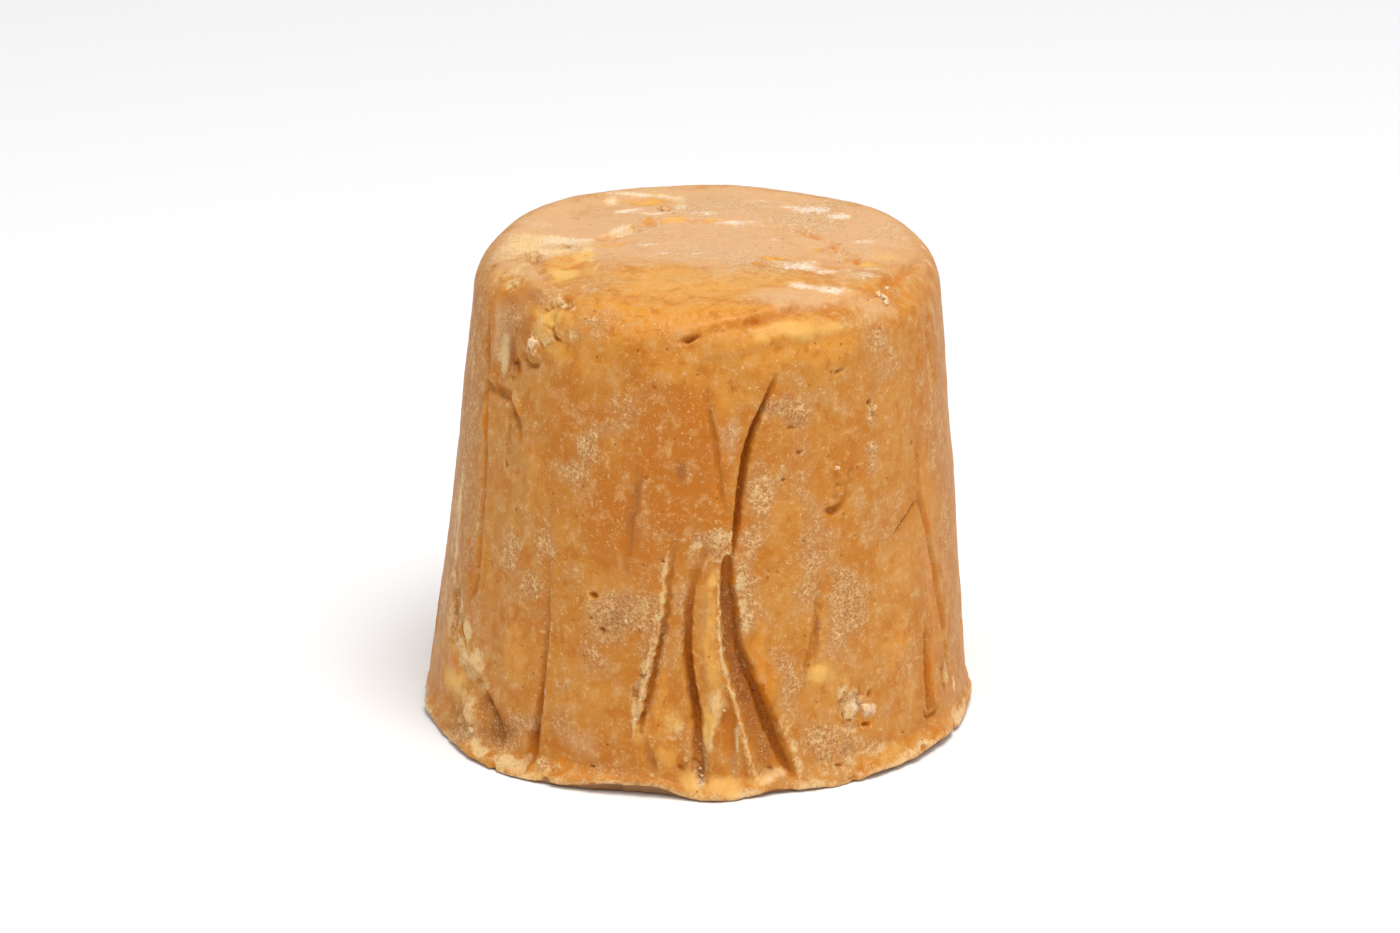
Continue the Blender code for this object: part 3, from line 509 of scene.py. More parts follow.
        (-8.4, 26, 1.2, 8, 0.4), (-9, 12.5, 2.4, 1.4, 0.4), (41, 62, 1.2, 4, 0.8),
        (41.4, 70.5, 1.6, 2.4, 0.9), (58, 92, 1.6, 2.2, 0.7), (72, 40, 3, 5, 0.5), (68, 60, 5, 10, 0.35),
        (45, 85, 2.4, 3, 0.8), (50, 79, 3.4, 4, 0.5), (-63, 40, 2, 6, 0.6), (-64.5, 35, 2.2, 3, 0.8),
        (20, 64, 4, 7, 0.5), (26, 50, 5, 6, 0.35), (46, 50, 7, 10, 0.25), (24, 42, 4, 5, 0.5),
        (-12, 78, 5, 4, 0.35), (-20, 75, 4, 4, 0.4), (-30, 90, 3.4, 2.4, 0.6), (61, 73, 2.4, 2.4, 0.6),
        (-57, 80, 3, 4, 0.4), (-24, 26, 4, 4, 0.4), (-36, 28, 2, 5, 0.35), (40, 90, 6, 2, 0.3),
        (3.4, 47.6, 1.5, 1.5, 0.9), (-4, 37, 1.4, 6, 0.4), (1.4, 7, 0.8, 4, 1), (14, 8, 2.4, 4, 0.6),
        (-72, 60, 4, 14, 0.5), (-78, 70, 4, 14, 0.5), (115, 60, 9, 10, 0.8), (150, 72, 10, 8, 0.8),
        (170, 50, 8, 12, 0.7), (-165, 70, 8, 9, 0.7), (-150, 40, 8, 9, 0.8), (-122, 52, 8, 10, 0.8),
        (-100, 66, 7, 9, 0.7), (-92, 44, 6, 10, 0.5), (110, 34, 8, 8, 0.7), (140, 20, 8, 8, 0.7),
        (170, 20, 8, 8, 0.7), (-110, 20, 8, 8, 0.6), (90, 80, 8, 8, 0.4), (95, 50, 7, 12, 0.4),
    ],
    "white": [
        (-46.4, 84, 0.9, 0.7, 0.9), (51.6, 92.4, 0.8, 1.2, 1), (57, 94, 0.5, 0.5, 0.9),
        (37.8, 13, 1.1, 1.4, 1), (39.4, 12.8, 0.8, 1, 1), (-54, 4.6, 0.6, 0.6, 1),
        (30.8, 62.2, 0.5, 0.4, 0.8), (40.8, 64.6, 0.4, 0.4, 0.8), (42, 72, 0.5, 0.3, 0.7),
        (91, 90.5, 0.8, 1.6, 0.8), (98, 92, 0.8, 1.4, 0.7), (-13.2, 15.4, 0.4, 0.4, 0.9),
        (-11.6, 21, 0.3, 0.3, 0.7), (-2.6, 8, 0.4, 0.4, 0.7), (0.8, 3.4, 0.9, 1.4, 0.6),
        (14.6, 2.6, 3, 1.2, 0.4), (35.2, 14.6, 1, 1.8, 0.7), (71.2, 8.6, 0.8, 1.6, 0.9),
        (-59, 3.2, 1, 1, 0.9), (-34.6, 17.4, 0.5, 0.8, 0.9), (67, 13.4, 0.7, 1.2, 0.6),
        (-45, 94, 0.8, 0.4, 0.8), (-38, 92, 0.8, 0.6, 0.6), (-12.6, 33.6, 0.6, 0.4, 0.5),
        (-20.4, 28.6, 0.6, 0.3, 0.6), (9.8, 33, 0.3, 1, 0.5),
    ],
    # the spot at angle -15.4, run 55 is brown beside the scar ridge, partly painted shade
    "stain": [
        (-55.4, 79.6, 1.8, 3.4, 1), (-60, 89.6, 5.6, 2.4, 0.7), (-54, 92.5, 5, 2.4, 0.7),
        (-51, 86, 3.4, 3.4, 0.6), (-50, 85, 2, 3, 0.4), (-47, 8.6, 3, 3, 0.7), (-15.4, 55, 1.2, 7.5, 0.8),
        (2, 48.2, 1.4, 0.7, 0.8), (57.6, 15, 1.2, 7, 0.4), (-56.5, 76, 2, 2, 0.4),
        (-17, 50, 1.2, 10, 0.6), (-17, 37, 3, 3, 0.5), (-5.5, 64, 1.1, 2, 1.2), (25, 31, 0.9, 6, 0.7),
        (-43, 7, 2.4, 2.4, 0.5), (5.8, 15.6, 1.1, 2, 0.7), (42.6, 76, 1.6, 4, 0.45),
        (-7.4, 50, 0.8, 5, 0.4), (0.4, 48.6, 0.6, 2.4, 0.6), (-32, 88, 3, 2, 0.3),
        (76, 94, 3.5, 0.7, 0.35), (62, 94.6, 3.5, 0.6, 0.35), (27, 6, 2, 1.4, 0.4),
        (36, 19, 1.2, 1.2, 0.5), (38.6, 16, 0.9, 1.4, 0.5), (-49.6, 11.4, 1.2, 1.4, 0.9),
        (-52, 5, 1, 2.5, 0.4), (-68, 36, 2, 4, 0.3), (130, 20, 3, 9, 0.6), (-139, 40, 2.2, 14, 0.6),
        (-167, 34, 2, 12, 0.6),
    ],
    "dust": [
        (-5.5, 64, 0.9, 2, 1), (-15.6, 55, 0.7, 7, 0.6), (25, 31, 0.6, 6, 0.6), (5.3, 38, 1.1, 4, 1),
        (6, 31, 1.4, 4, 1), (7.8, 25, 1.8, 3.6, 1), (9.6, 20, 2, 3.4, 1), (11.4, 14, 2.2, 3.6, 0.6),
        (13.6, 7.6, 2.4, 3, 0.5), (0.2, 10.4, 0.9, 2.8, 1), (1, 5.4, 0.7, 2.6, 1),
        (-2.6, 36, 0.5, 6, 0.3), (16, 75, 4, 2.4, 0.4), (21, 72, 3, 3, 0.4), (131, 12, 1.6, 6, 0.8),
        (-112, 16, 1, 6, 0.8), (-19, 34, 4, 3, 0.5), (33, 35, 3, 5, 0.35), (-47.5, 6.6, 5.8, 3.6, 0.65),
        (-51.4, 10.4, 2.2, 2.2, 0.9), (-64, 36, 2, 3.5, 0.5), (32, 7.6, 3.5, 2.4, 0.4),
    ],
    "olive": [
        (-59, 80, 3, 6, 1), (-80, 62, 7, 30, 0.8), (-80, 28, 7, 22, 0.8), (-69, 68, 3.5, 14, 0.7),
        (-69, 46, 3.5, 12, 0.8), (-66, 28, 3, 8, 0.7), (-60, 6, 6, 6, 0.5), (-86, 92, 8, 10, 0.5),
        (-46, 24, 6, 10, 0.5), (-48, 50, 6, 14, 0.35), (75, 60, 7, 26, 0.4), (75, 20, 7, 16, 0.4),
        (100, 60, 10, 30, 0.3), (-28, 66, 3, 5, 0.4), (-51, 62, 4, 8, 0.4), (180, 50, 14, 30, 0.3),
        (-130, 50, 14, 30, 0.3),
    ],
}
# Top: x, y, half width, half depth, strength
topPaint = {
    "amber": [
        (14, 9.2, 4.4, 1, 0.6), (19.6, 6, 1.5, 2.4, 0.6), (27.4, -8.8, 1.4, 2.6, 0.6),
        (30, -10.4, 2.6, 1.2, 0.5), (-12, 28, 2.8, 1.2, 0.5), (-3.5, 14, 5, 0.8, 0.7),
        (-12.2, 13, 1.2, 3, 0.5), (11.6, -10.4, 2.2, 0.8, 0.4), (9, -13.6, 1.1, 0.8, 0.4),
        (20.6, -4, 1.3, 0.8, 0.4), (-26, -13, 4.8, 9, 0.5), (-30.6, -9, 2, 3, 0.4), (-21, 3, 1.6, 1, 0.5),
    ],
    "deep": [
        (12, 7, 6, 2, 0.4), (-6, -14, 5, 2, 0.2),
    ],
    # the top is paler all over: paler sugar, partly painted sheen
    "pale": [
        (9, -29.5, 6, 4, 0.7), (20, -28.7, 7, 4.4, 0.9), (14, -31, 12, 5, 0.9), (27, -27, 8, 6, 0.9),
        (0, 16, 36, 24, 1), (-24, 4, 18, 20, 1), (26, 4, 18, 22, 1), (0, -4, 28, 14, 1),
        (0, 30, 28, 10, 1), (0, -20, 28, 8, 0.6), (28, -18, 7, 7, 0.7),
    ],
    "torn": [
        (-29, 0, 4, 4, 0.4), (-27, -10, 5, 5, 0.4), (-9, 22, 2.4, 2.4, 0.6), (-34, -6, 4, 5, 0.7),
        (-19, 3, 3, 3, 0.3),
    ],
    "cream": [
        (-16, 31.6, 4.4, 1.5, 1), (-10, 32, 4.4, 1.4, 1), (-6.4, 29, 1.8, 2.8, 0.9),
        (-5.4, 24.5, 1.6, 3, 0.9), (-19.4, 27, 1.7, 3.4, 1), (-16.5, 21, 3.4, 1.9, 0.9),
        (-10.5, 18.6, 3.4, 1.4, 0.7), (-18.6, 6, 1, 2, 1), (-16, 9, 1.2, 1.9, 1),
        (-35.8, -0.6, 6.6, 5.2, 0.9), (-32.6, 2.6, 7.6, 3.8, 0.9), (-31, 3.4, 4.4, 3.2, 1),
        (-28, 2, 3.4, 2.6, 1), (-24.6, 1.4, 2.6, 2.6, 1), (-32, -4, 3, 3.6, 0.9),
        (-28.6, -3.4, 2.6, 3, 0.9), (-23.4, -3, 1.6, 3, 0.9), (-36, 4, 4, 4, 0.8), (-22.4, -8, 1, 5, 0.8),
        (-21.8, -15, 0.9, 4, 0.6), (28, -16.8, 3.4, 2.6, 0.5), (19.5, 24.6, 5, 2.6, 0.6),
        (3, 24, 8, 4, 0.3), (-36, -12, 2.4, 6, 0.7), (25.8, 17.6, 3, 2, 0.5),
    ],
    "yellow": [
        (12, -10.6, 2, 0.9, 0.7), (20.4, -4, 1.3, 0.9, 0.6), (-12, 28, 3.6, 1.6, 0.7),
        (-27.6, -16.6, 2.8, 6.4, 1), (-23.8, -7, 2.6, 3.4, 0.9), (-27.4, -9, 3.6, 4, 0.5),
        (-23.4, -15, 1.8, 5, 0.5), (-3.5, 14.2, 5.6, 0.9, 1), (-8.6, 21.6, 1.4, 1.4, 0.9),
        (-23.6, -5.4, 1.7, 1.8, 0.9), (-19, -1.8, 2.6, 1.3, 0.6), (30, -10, 3.2, 1.7, 0.9),
        (33, -5, 3, 4, 0.4), (0, -24, 30, 9, 0.4), (-8, 26, 1.2, 1.4, 0.6),
    ],
    "wax": [
        (-5, -28, 15, 7, 1), (-10, -20, 10, 5, 0.8), (12, -22, 9, 5, 0.4), (30, -10.4, 3.4, 1.8, 1),
        (14, 9.2, 4.4, 1.1, 1), (19.6, 6, 1.7, 2.4, 0.9), (24, -1.8, 1.2, 4.4, 0.8),
        (27.4, -8.8, 1.5, 2.6, 1), (-27, -13, 4.6, 9, 0.9), (-12, 28, 3.6, 1.9, 1), (26, -26, 5, 4, 0.3),
        (-12.2, 13, 1.6, 3.6, 1), (-19, 3.4, 2.4, 1.2, 0.7), (-18.6, -1.4, 3, 1.6, 0.8),
        (12, -10.6, 2.4, 1, 1), (9, -13.6, 1.2, 0.9, 0.9), (20.6, -4, 1.4, 0.9, 1),
        (-3.5, 13.9, 6, 1.2, 1), (-21.6, 2.2, 1.6, 1.2, 0.7),
    ],
    "bloom": [
        (-12, -2.4, 3, 1.6, 1), (-8, -7.8, 6, 0.9, 0.9), (20, 15, 10, 10, 0.7), (0, -8, 14, 5, 0.5),
        (12, -14, 9, 4, 0.7), (-12, 10, 5, 7, 0.3), (28, -4, 5, 5, 0.4), (3, 24, 10, 7, 0.7),
        (8, 12, 6, 2, 0.5), (-28, 0, 5, 3, 0.5), (22, 24, 7, 5, 0.8), (-4, 20, 6, 4, 0.7),
        (30, -17, 4, 3, 0.8), (34, 8, 5, 8, 0.5), (-20, -24, 6, 5, 0.4), (-6, -22, 8, 5, 0.35),
    ],
    "white": [
        (-16, 20.8, 3.4, 1.5, 0.9), (-10.5, 18.8, 3.6, 1.4, 0.8), (-5.6, 23, 1.6, 2.4, 0.7),
        (16, 25.8, 3.2, 1.6, 0.9), (20, 23.4, 4.2, 3.5, 1), (25.2, 18.4, 2.8, 2.2, 1),
        (13.4, -12.2, 2.2, 0.9, 0.8), (17, -14.4, 4.2, 2.2, 1), (21.4, -16.4, 2.8, 1.5, 0.9),
        (19.4, -11.4, 1.8, 1.1, 0.8), (17, -25.4, 3.2, 2.2, 0.9), (22.6, -26.6, 3.5, 2.2, 1),
        (4, 12.4, 3.8, 1.9, 0.9), (8, 13, 2.5, 1.4, 0.7), (-9, -7.7, 3, 0.7, 0.8),
        (-3, -7.4, 2.5, 0.5, 0.7), (-15, 31.8, 5, 1.5, 0.8), (-8, 31.4, 3.8, 1.4, 0.7),
        (-19.2, 27.4, 1.4, 3.5, 0.7), (-16, 20.6, 3, 1.5, 0.5), (26, -14.6, 1.5, 0.9, 0.7),
        (29.4, -17.6, 2, 1.4, 0.7), (-1, 19, 4.2, 1.5, 0.6), (10, 29, 6.2, 1.2, 0.5),
        (30, 2, 3.2, 1.5, 0.6), (-17, 7.6, 1.1, 4.1, 0.8), (-30, 3, 3.8, 2.7, 0.7),
        (-26, 2, 3.2, 2.4, 0.7), (-31, -4, 2.5, 3.2, 0.5), (-12, -2.6, 3, 1.1, 0.6),
        (12, 1, 3.8, 0.9, 0.4), (-33, 12, 2.5, 2.2, 0.4), (31, -13.4, 2, 1.4, 0.6),
    ],
    "stain": [
        (-9, 23.4, 0.9, 0.9, 0.7), (-6.6, 28, 1, 1, 0.4), (-34.4, -6, 2.4, 3, 0.5),
        (-35, -12, 1.6, 3, 0.5), (10.6, -11.2, 1.4, 0.4, 0.3),
    ],
    "dust": [
        (0, 30, 16, 4, 0.2),
    ],
    "olive": [
        (-15, 10, 8, 10, 0.4), (-22, 18, 8, 12, 0.6), (0, 32, 20, 5, 0.5), (-30, -8, 7, 8, 0.3),
    ],
}


def smooth(share):
    share = np.clip(share, 0, 1)
    return share * share * (3 - 2 * share)


def bell(distance):
    return np.exp(-0.5 * distance * distance)


def keepMost(layer, near, values):
    layer[near] = np.maximum(layer[near], values)


def noiseAt(points, size, seed=0):
    # soft noise with swells of this size in mm; another seed gives another pattern
    scaled = points / (size * mm) + seed * 17.3
    return np.array([noise.noise(Vector(p)) for p in scaled.tolist()])


def noiseShift(points, size, amount):
    scaled = points / (size * mm) + 3.7
    return np.array([noise.noise_vector(Vector(p)) for p in scaled.tolist()]) * amount * mm


def cellsAt(points, size):
    # distances to the nearest two cells' middles, and the nearest middle, in cells
    found = [noise.voronoi(Vector(p)) for p in (points / (size * mm)).tolist()]
    nearest = np.array([distances[0] for distances, _ in found])
    second = np.array([distances[1] for distances, _ in found])
    return nearest, second, np.array([tuple(middles[0]) for _, middles in found])


def blockSizes():
    form = blockForm
    taper = (form["baseRadius"] - form["topRadius"]) / form["height"]
    wallTop = form["height"] - form["rimRadius"]
    rimCentre = form["baseRadius"] - taper * wallTop - form["rimRadius"]
    wallRun = wallTop * math.hypot(1, taper)
    rimRun = form["rimRadius"] * math.pi / 2
    return taper, wallTop, rimCentre, wallRun, rimRun


taper, wallTop, rimCentre, wallRun, rimRun = blockSizes()


def placeOnWall(angle, run):
    # the place in metres and the outward direction, on the plain form
    angle, run = np.radians(np.asarray(angle, float)), np.asarray(run, float)
    turn = np.clip((run - wallRun) / rimRun, 0, 1) * math.pi / 2
    onWall = np.clip(run / wallRun, 0, 1)
    inward = np.clip((run - wallRun - rimRun) / rimCentre, 0, 1)
    radius = rimCentre * (1 - inward) + blockForm["rimRadius"] * np.cos(turn) + taper * wallTop * (1 - onWall)
    height = wallTop * onWall + blockForm["rimRadius"] * np.sin(turn)
    point = np.stack([radius * np.sin(angle), -radius * np.cos(angle), height], -1) * mm
    outward = np.stack([np.cos(turn) * np.sin(angle), -np.cos(turn) * np.cos(angle), np.sin(turn)], -1)
    return point, outward


def placeOnTop(x, y):
    x, y = np.asarray(x, float), np.asarray(y, float)
    run = wallRun + rimRun + np.minimum(0, rimCentre - np.hypot(x, y))
    onRim, outward = placeOnWall(np.degrees(np.arctan2(x, -y)), run)
    flat = np.stack([x * mm, y * mm, onRim[..., 2]], -1)
    return flat, outward


def placeOn(onTop, x, y):
    return placeOnTop(x, y) if onTop else placeOnWall(x, y)


def angleAndRun(points):
    x, y, z = (points / mm).T
    radius = np.hypot(x, y)
    angle = np.degrees(np.arctan2(x, -y))
    onRim = np.arctan2(z - wallTop, radius - rimCentre)
    run = np.where(z < wallTop, z * wallRun / wallTop, wallRun + blockForm["rimRadius"] * onRim)
    return angle, np.where((radius < rimCentre) & (z > wallTop), wallRun + rimRun + rimCentre - radius, run)


def roundBase(bumps, angle):
    total = np.zeros_like(angle)
    for centre, spread, amount in bumps:
        total += amount * bell(((angle - centre + 180) % 360 - 180) / spread)
    return total


def pickParts(obj, test, kind):
    # selects the faces or edges of the mesh being edited that pass the test
    mesh = bmesh.from_edit_mesh(obj.data)
    bpy.ops.mesh.select_all(action="DESELECT")
    bpy.ops.mesh.select_mode(type=kind)
    for part in mesh.faces if kind == "FACE" else mesh.edges:
        part.select_set(bool(test(part)))
    bmesh.update_edit_mesh(obj.data)


def gridCap(obj, height):
    # a flat end is refilled with an even grid
    pickParts(obj, lambda f: len(f.verts) > 4 and abs(f.verts[0].co.z - height) < 0.1 * mm, "FACE")
    bpy.ops.mesh.delete(type="ONLY_FACE")
    pickParts(obj, lambda e: e.is_boundary and abs(e.verts[0].co.z - height) < 0.1 * mm, "EDGE")
    bpy.ops.mesh.fill_grid(span=blockForm["capSpan"], use_interp_simple=True)


def startBlock():
    bpy.ops.object.select_all(action="DESELECT")
    height = blockForm["height"] * mm
    bpy.ops.mesh.primitive_cone_add(
        vertices=blockForm["columns"], depth=height, end_fill_type="NGON", location=(0, 0, height / 2),
        radius1=blockForm["baseRadius"] * mm, radius2=blockForm["topRadius"] * mm,
    )
    obj = bpy.context.object
    obj.name = "jaggeryBlock"
    bpy.ops.object.transform_apply(location=True)
    bpy.ops.object.mode_set(mode="EDIT")
    pickParts(obj, lambda e: all(v.co.z > height - mm for v in e.verts), "EDGE")
    bpy.ops.mesh.bevel(offset=blockForm["rimRadius"] * mm, segments=blockForm["rimSegments"])
    pickParts(obj, lambda e: all(v.co.z < mm for v in e.verts), "EDGE")
    bpy.ops.mesh.bevel(offset=blockForm["footRound"] * mm, segments=2)
    gridCap(obj, height)
    gridCap(obj, 0)
    pickParts(obj, lambda e: abs(e.verts[0].co.z - e.verts[1].co.z) > height / 2, "EDGE")
    bpy.ops.mesh.subdivide_edgering(number_cuts=blockForm["wallCuts"], interpolation="LINEAR")
    bpy.ops.mesh.select_all(action="SELECT")
    bpy.ops.mesh.normals_make_consistent(inside=False)
    bpy.ops.object.mode_set(mode="OBJECT")
    finer = obj.modifiers.new("finer", "SUBSURF")
    finer.levels = finer.render_levels = 2
    bpy.ops.object.modifier_apply(modifier=finer.name)
    return obj


def curveThrough(path, onTop, steps=10):
    # a smooth curve through the path's points, with their widths and depths
    path = np.array(path, float)
    if not onTop:
        path[:, 0] = np.degrees(np.unwrap(np.radians(path[:, 0])))
    padded = np.vstack([2 * path[0] - path[1], path, 2 * path[-1] - path[-2]])
    share = np.linspace(0, 1, steps, endpoint=False)[:, None]
    rows = []
    for a, b, c, d in zip(padded, padded[1:], padded[2:], padded[3:]):
        bend = (2 * a - 5 * b + 4 * c - d) * share**2
        rows.append(0.5 * (2 * b + (c - a) * share + bend + (3 * b - a - 3 * c + d) * share**3))
    rows.append(path[-1:])
    return np.vstack(rows)


def nearPath(points, path, onTop, reach):
    # for the points within reach: signed distance (right of the path is positive), share along, width, depth
    rows = curveThrough(path, onTop)
    line, outward = placeOn(onTop, rows[:, 0], rows[:, 1])
    low, high = line.min(0) - reach, line.max(0) + reach
    near = np.where(((points > low) & (points < high)).all(1))[0]
    start, along = line[:-1], np.diff(line, axis=0)
    delta = points[near][:, None, :] - start[None]
    share = np.clip((delta * along).sum(-1) / (along * along).sum(-1), 0, 1)
    gap = delta - share[..., None] * along
    closest = (gap * gap).sum(-1).argmin(1)
    pick = np.arange(len(near))
    share, gap = share[pick, closest], gap[pick, closest]
    right = np.cross(outward[:-1], along)[closest]
    distance = np.linalg.norm(gap, axis=1)
    signed = np.where((gap * right).sum(1) < 0, -distance, distance)
    widths = rows[closest, 2] + (rows[closest + 1, 2] - rows[closest, 2]) * share
    depths = rows[closest, 3] + (rows[closest + 1, 3] - rows[closest, 3]) * share
    keep = distance < reach
    total = (closest + share) / (len(rows) - 1)
    widths, depths = np.maximum(widths[keep], 0.05) * mm, np.maximum(depths[keep], 0) * mm
    return near[keep], signed[keep], total[keep], widths, depths


def raggedAt(points, seed):
    coarse = noiseAt(points, creaseForm["raggedSize"], seed)
    return coarse + creaseForm["fineShare"] * noiseAt(points, creaseForm["fineSize"], 4)


def carveCrease(fold, onTop, points, relief, masks):
    ledge, fade = fold["ledge"]
    reach = max(creaseForm["reach"], 3 * fade) * mm
    near, side, along, width, depth = nearPath(points, fold["path"], onTop, reach)
    side = side + raggedAt(points[near], 3) * fold["wobble"] * mm
    turned = smooth(along / 0.5)
    slopes = [(top + (foot - top) * turned) * mm for top, foot in zip(fold["slopes"], fold["footSlopes"])]
    slope = np.where(side < 0, slopes[0], slopes[1])
    gap = np.abs(side)
    shape = 1 - smooth((gap - 0.6 * width) / (0.4 * width + slope))
    cut = depth * shape
    keepMost(relief["cut"], near, cut)
    # painted shade inside the crease, full where it is deep, darkening the colour towards orange-brown
    core = 1 - smooth((gap - 0.5 * width) / (0.5 * width + 0.35 * slope))
    shade = fold["paintedShade"] * core * smooth(depth / (creaseForm["shadeDepth"] * mm))
    keepMost(masks["crease"], near, shade)
    ends = smooth(along / creaseForm["endFade"]) * smooth((1 - along) / creaseForm["endFade"])
    for sign, pale in zip((-1, 1), fold["pale"]):
        spread = fold["paleWidth"] * mm
        beyond = gap - width - np.minimum(slope, 0.4 * mm) - 0.7 * spread
        edge = bell(beyond / spread) * (side * sign > 0) * ends
        keepMost(masks["paleLip"], near, pale * edge)
    crumbly = np.maximum(0, noiseAt(points[near], 1.1, 21))
    crumbly = crumbly * bell((gap - width - 0.5 * mm) / (0.5 * mm)) * ends
    relief["raised"][near] += crumbly * fold["crumbly"] * smooth(depth / mm) * mm
    if ledge:
        lower = np.exp(-gap / (fade * mm)) * smooth(side * np.sign(ledge) / (0.35 * mm)) * ends
        relief["raised"][near] -= abs(ledge) * mm * lower


def raiseRidge(ridge, points, relief, masks):
    near, side, along, width, height = nearPath(points, ridge["path"], False, creaseForm["reach"] * mm)
    side = side + raggedAt(points[near], 6) * 0.2 * mm
    shape = 1 - smooth((np.abs(side) - 0.4 * width) / width)
    relief["raised"][near] += height * shape * smooth(along / 0.08) * smooth((1 - along) / 0.08)
    keepMost(masks["cream"], near, ridge["pale"] * shape)


def nearSpot(points, place, onTop, across, up, reach):
    # points near a place, and how far off they are where 1 is the spot's own edge
    centre, outward = placeOn(onTop, *place)
    near = np.where((np.abs(points - centre) < max(across, up) * reach * mm).all(1))[0]
    delta = points[near] - centre
    turn = math.radians(0 if onTop else place[0])
    around = np.array([math.cos(turn), math.sin(turn), 0])
    rise = np.cross(outward, around)
    return near, np.hypot(delta @ around / (across * mm), delta @ rise / (up * mm))


def paintSpots(table, onTop, points, warped, masks):
    for name, spots in table.items():
        for x, y, across, up, strength in spots:
            moved = points + (warped - points) * min(1, 0.15 + max(across, up) / 6)
            near, far = nearSpot(moved, (x, y), onTop, across, up, 2.0)
            keepMost(masks[name], near, strength * (1 - smooth((far - 0.2) / 1.3)))


def pushAndPull(points, relief, masks):
    # the small holes and lumps
    for onTop, holes in ((False, pits), (True, topPits)):
        for x, y, across, up, depth in holes:
            near, far = nearSpot(points, (x, y), onTop, across, up, 1.8)
            shape = 1 - smooth((far - 0.4) / 0.8)
            keepMost(relief["cut"], near, 0.7 * depth * mm * shape)
            # holes on the wall get painted shade inside and a cream rim
            if not onTop:
                keepMost(masks["crease"], near, 0.5 * shape)
                keepMost(masks["cream"], near, 0.5 * bell((far - 1.25) / 0.2))
    for x, y, across, up, rise in lumps:
        near, far = nearSpot(points, (x, y), False, across, up, 1.8)
        relief["raised"][near] += rise * mm * (1 - smooth((far - 0.35) / 0.9))


def breakTorn(points, relief, masks):
    # crumbly sugar in the torn places: tilted facets with cracks between them, which get painted shade
    torn = np.where(masks["torn"] > 0.08)[0]
    broken = smooth((masks["torn"][torn] + 0.35 * noiseAt(points[torn], 3.2, 7) - 0.3) / 0.3)
    masks["torn"][torn] = broken
    rough, crackShade, tint = np.zeros(len(torn)), np.zeros(len(torn)), np.zeros(len(torn))
    for size, rise in tornForm["cells"]:
        moved = points[torn] + noiseShift(points[torn], size / 2, size / 5)
        near, nextNear, middle = cellsAt(moved, size)
        away = moved / (size * mm) - middle
        # each facet's own lean, height and tint, scattered by sines of its place
        lean = np.sin(middle @ np.array([[12.9, 78.2, 37.7], [45.1, 9.4, 61.3], [27.3, 33.9, 5.7]]))
        rough += rise * (0.25 * np.sin(middle @ (12.9, 78.2, 37.7)) + 0.8 * (away * lean).sum(1))
        gap = 1 - smooth((nextNear - near) / tornForm["crackWidth"])
        rough -= rise * tornForm["crackDepth"] * gap
        crackShade = np.maximum(crackShade, gap * min(1, rise + 0.1))
        tint += rise * (0.5 + 0.5 * np.sin(middle @ (51.3, 17.7, 29.9)))
    relief["raised"][torn] += broken * (rough * tornForm["rough"] - tornForm["sunk"]) * mm
    # painted shade for the cracks between facets
    masks["crackShade"][torn] = broken * crackShade
    masks["tint"][torn] = broken * tint / sum(rise for _, rise in tornForm["cells"])


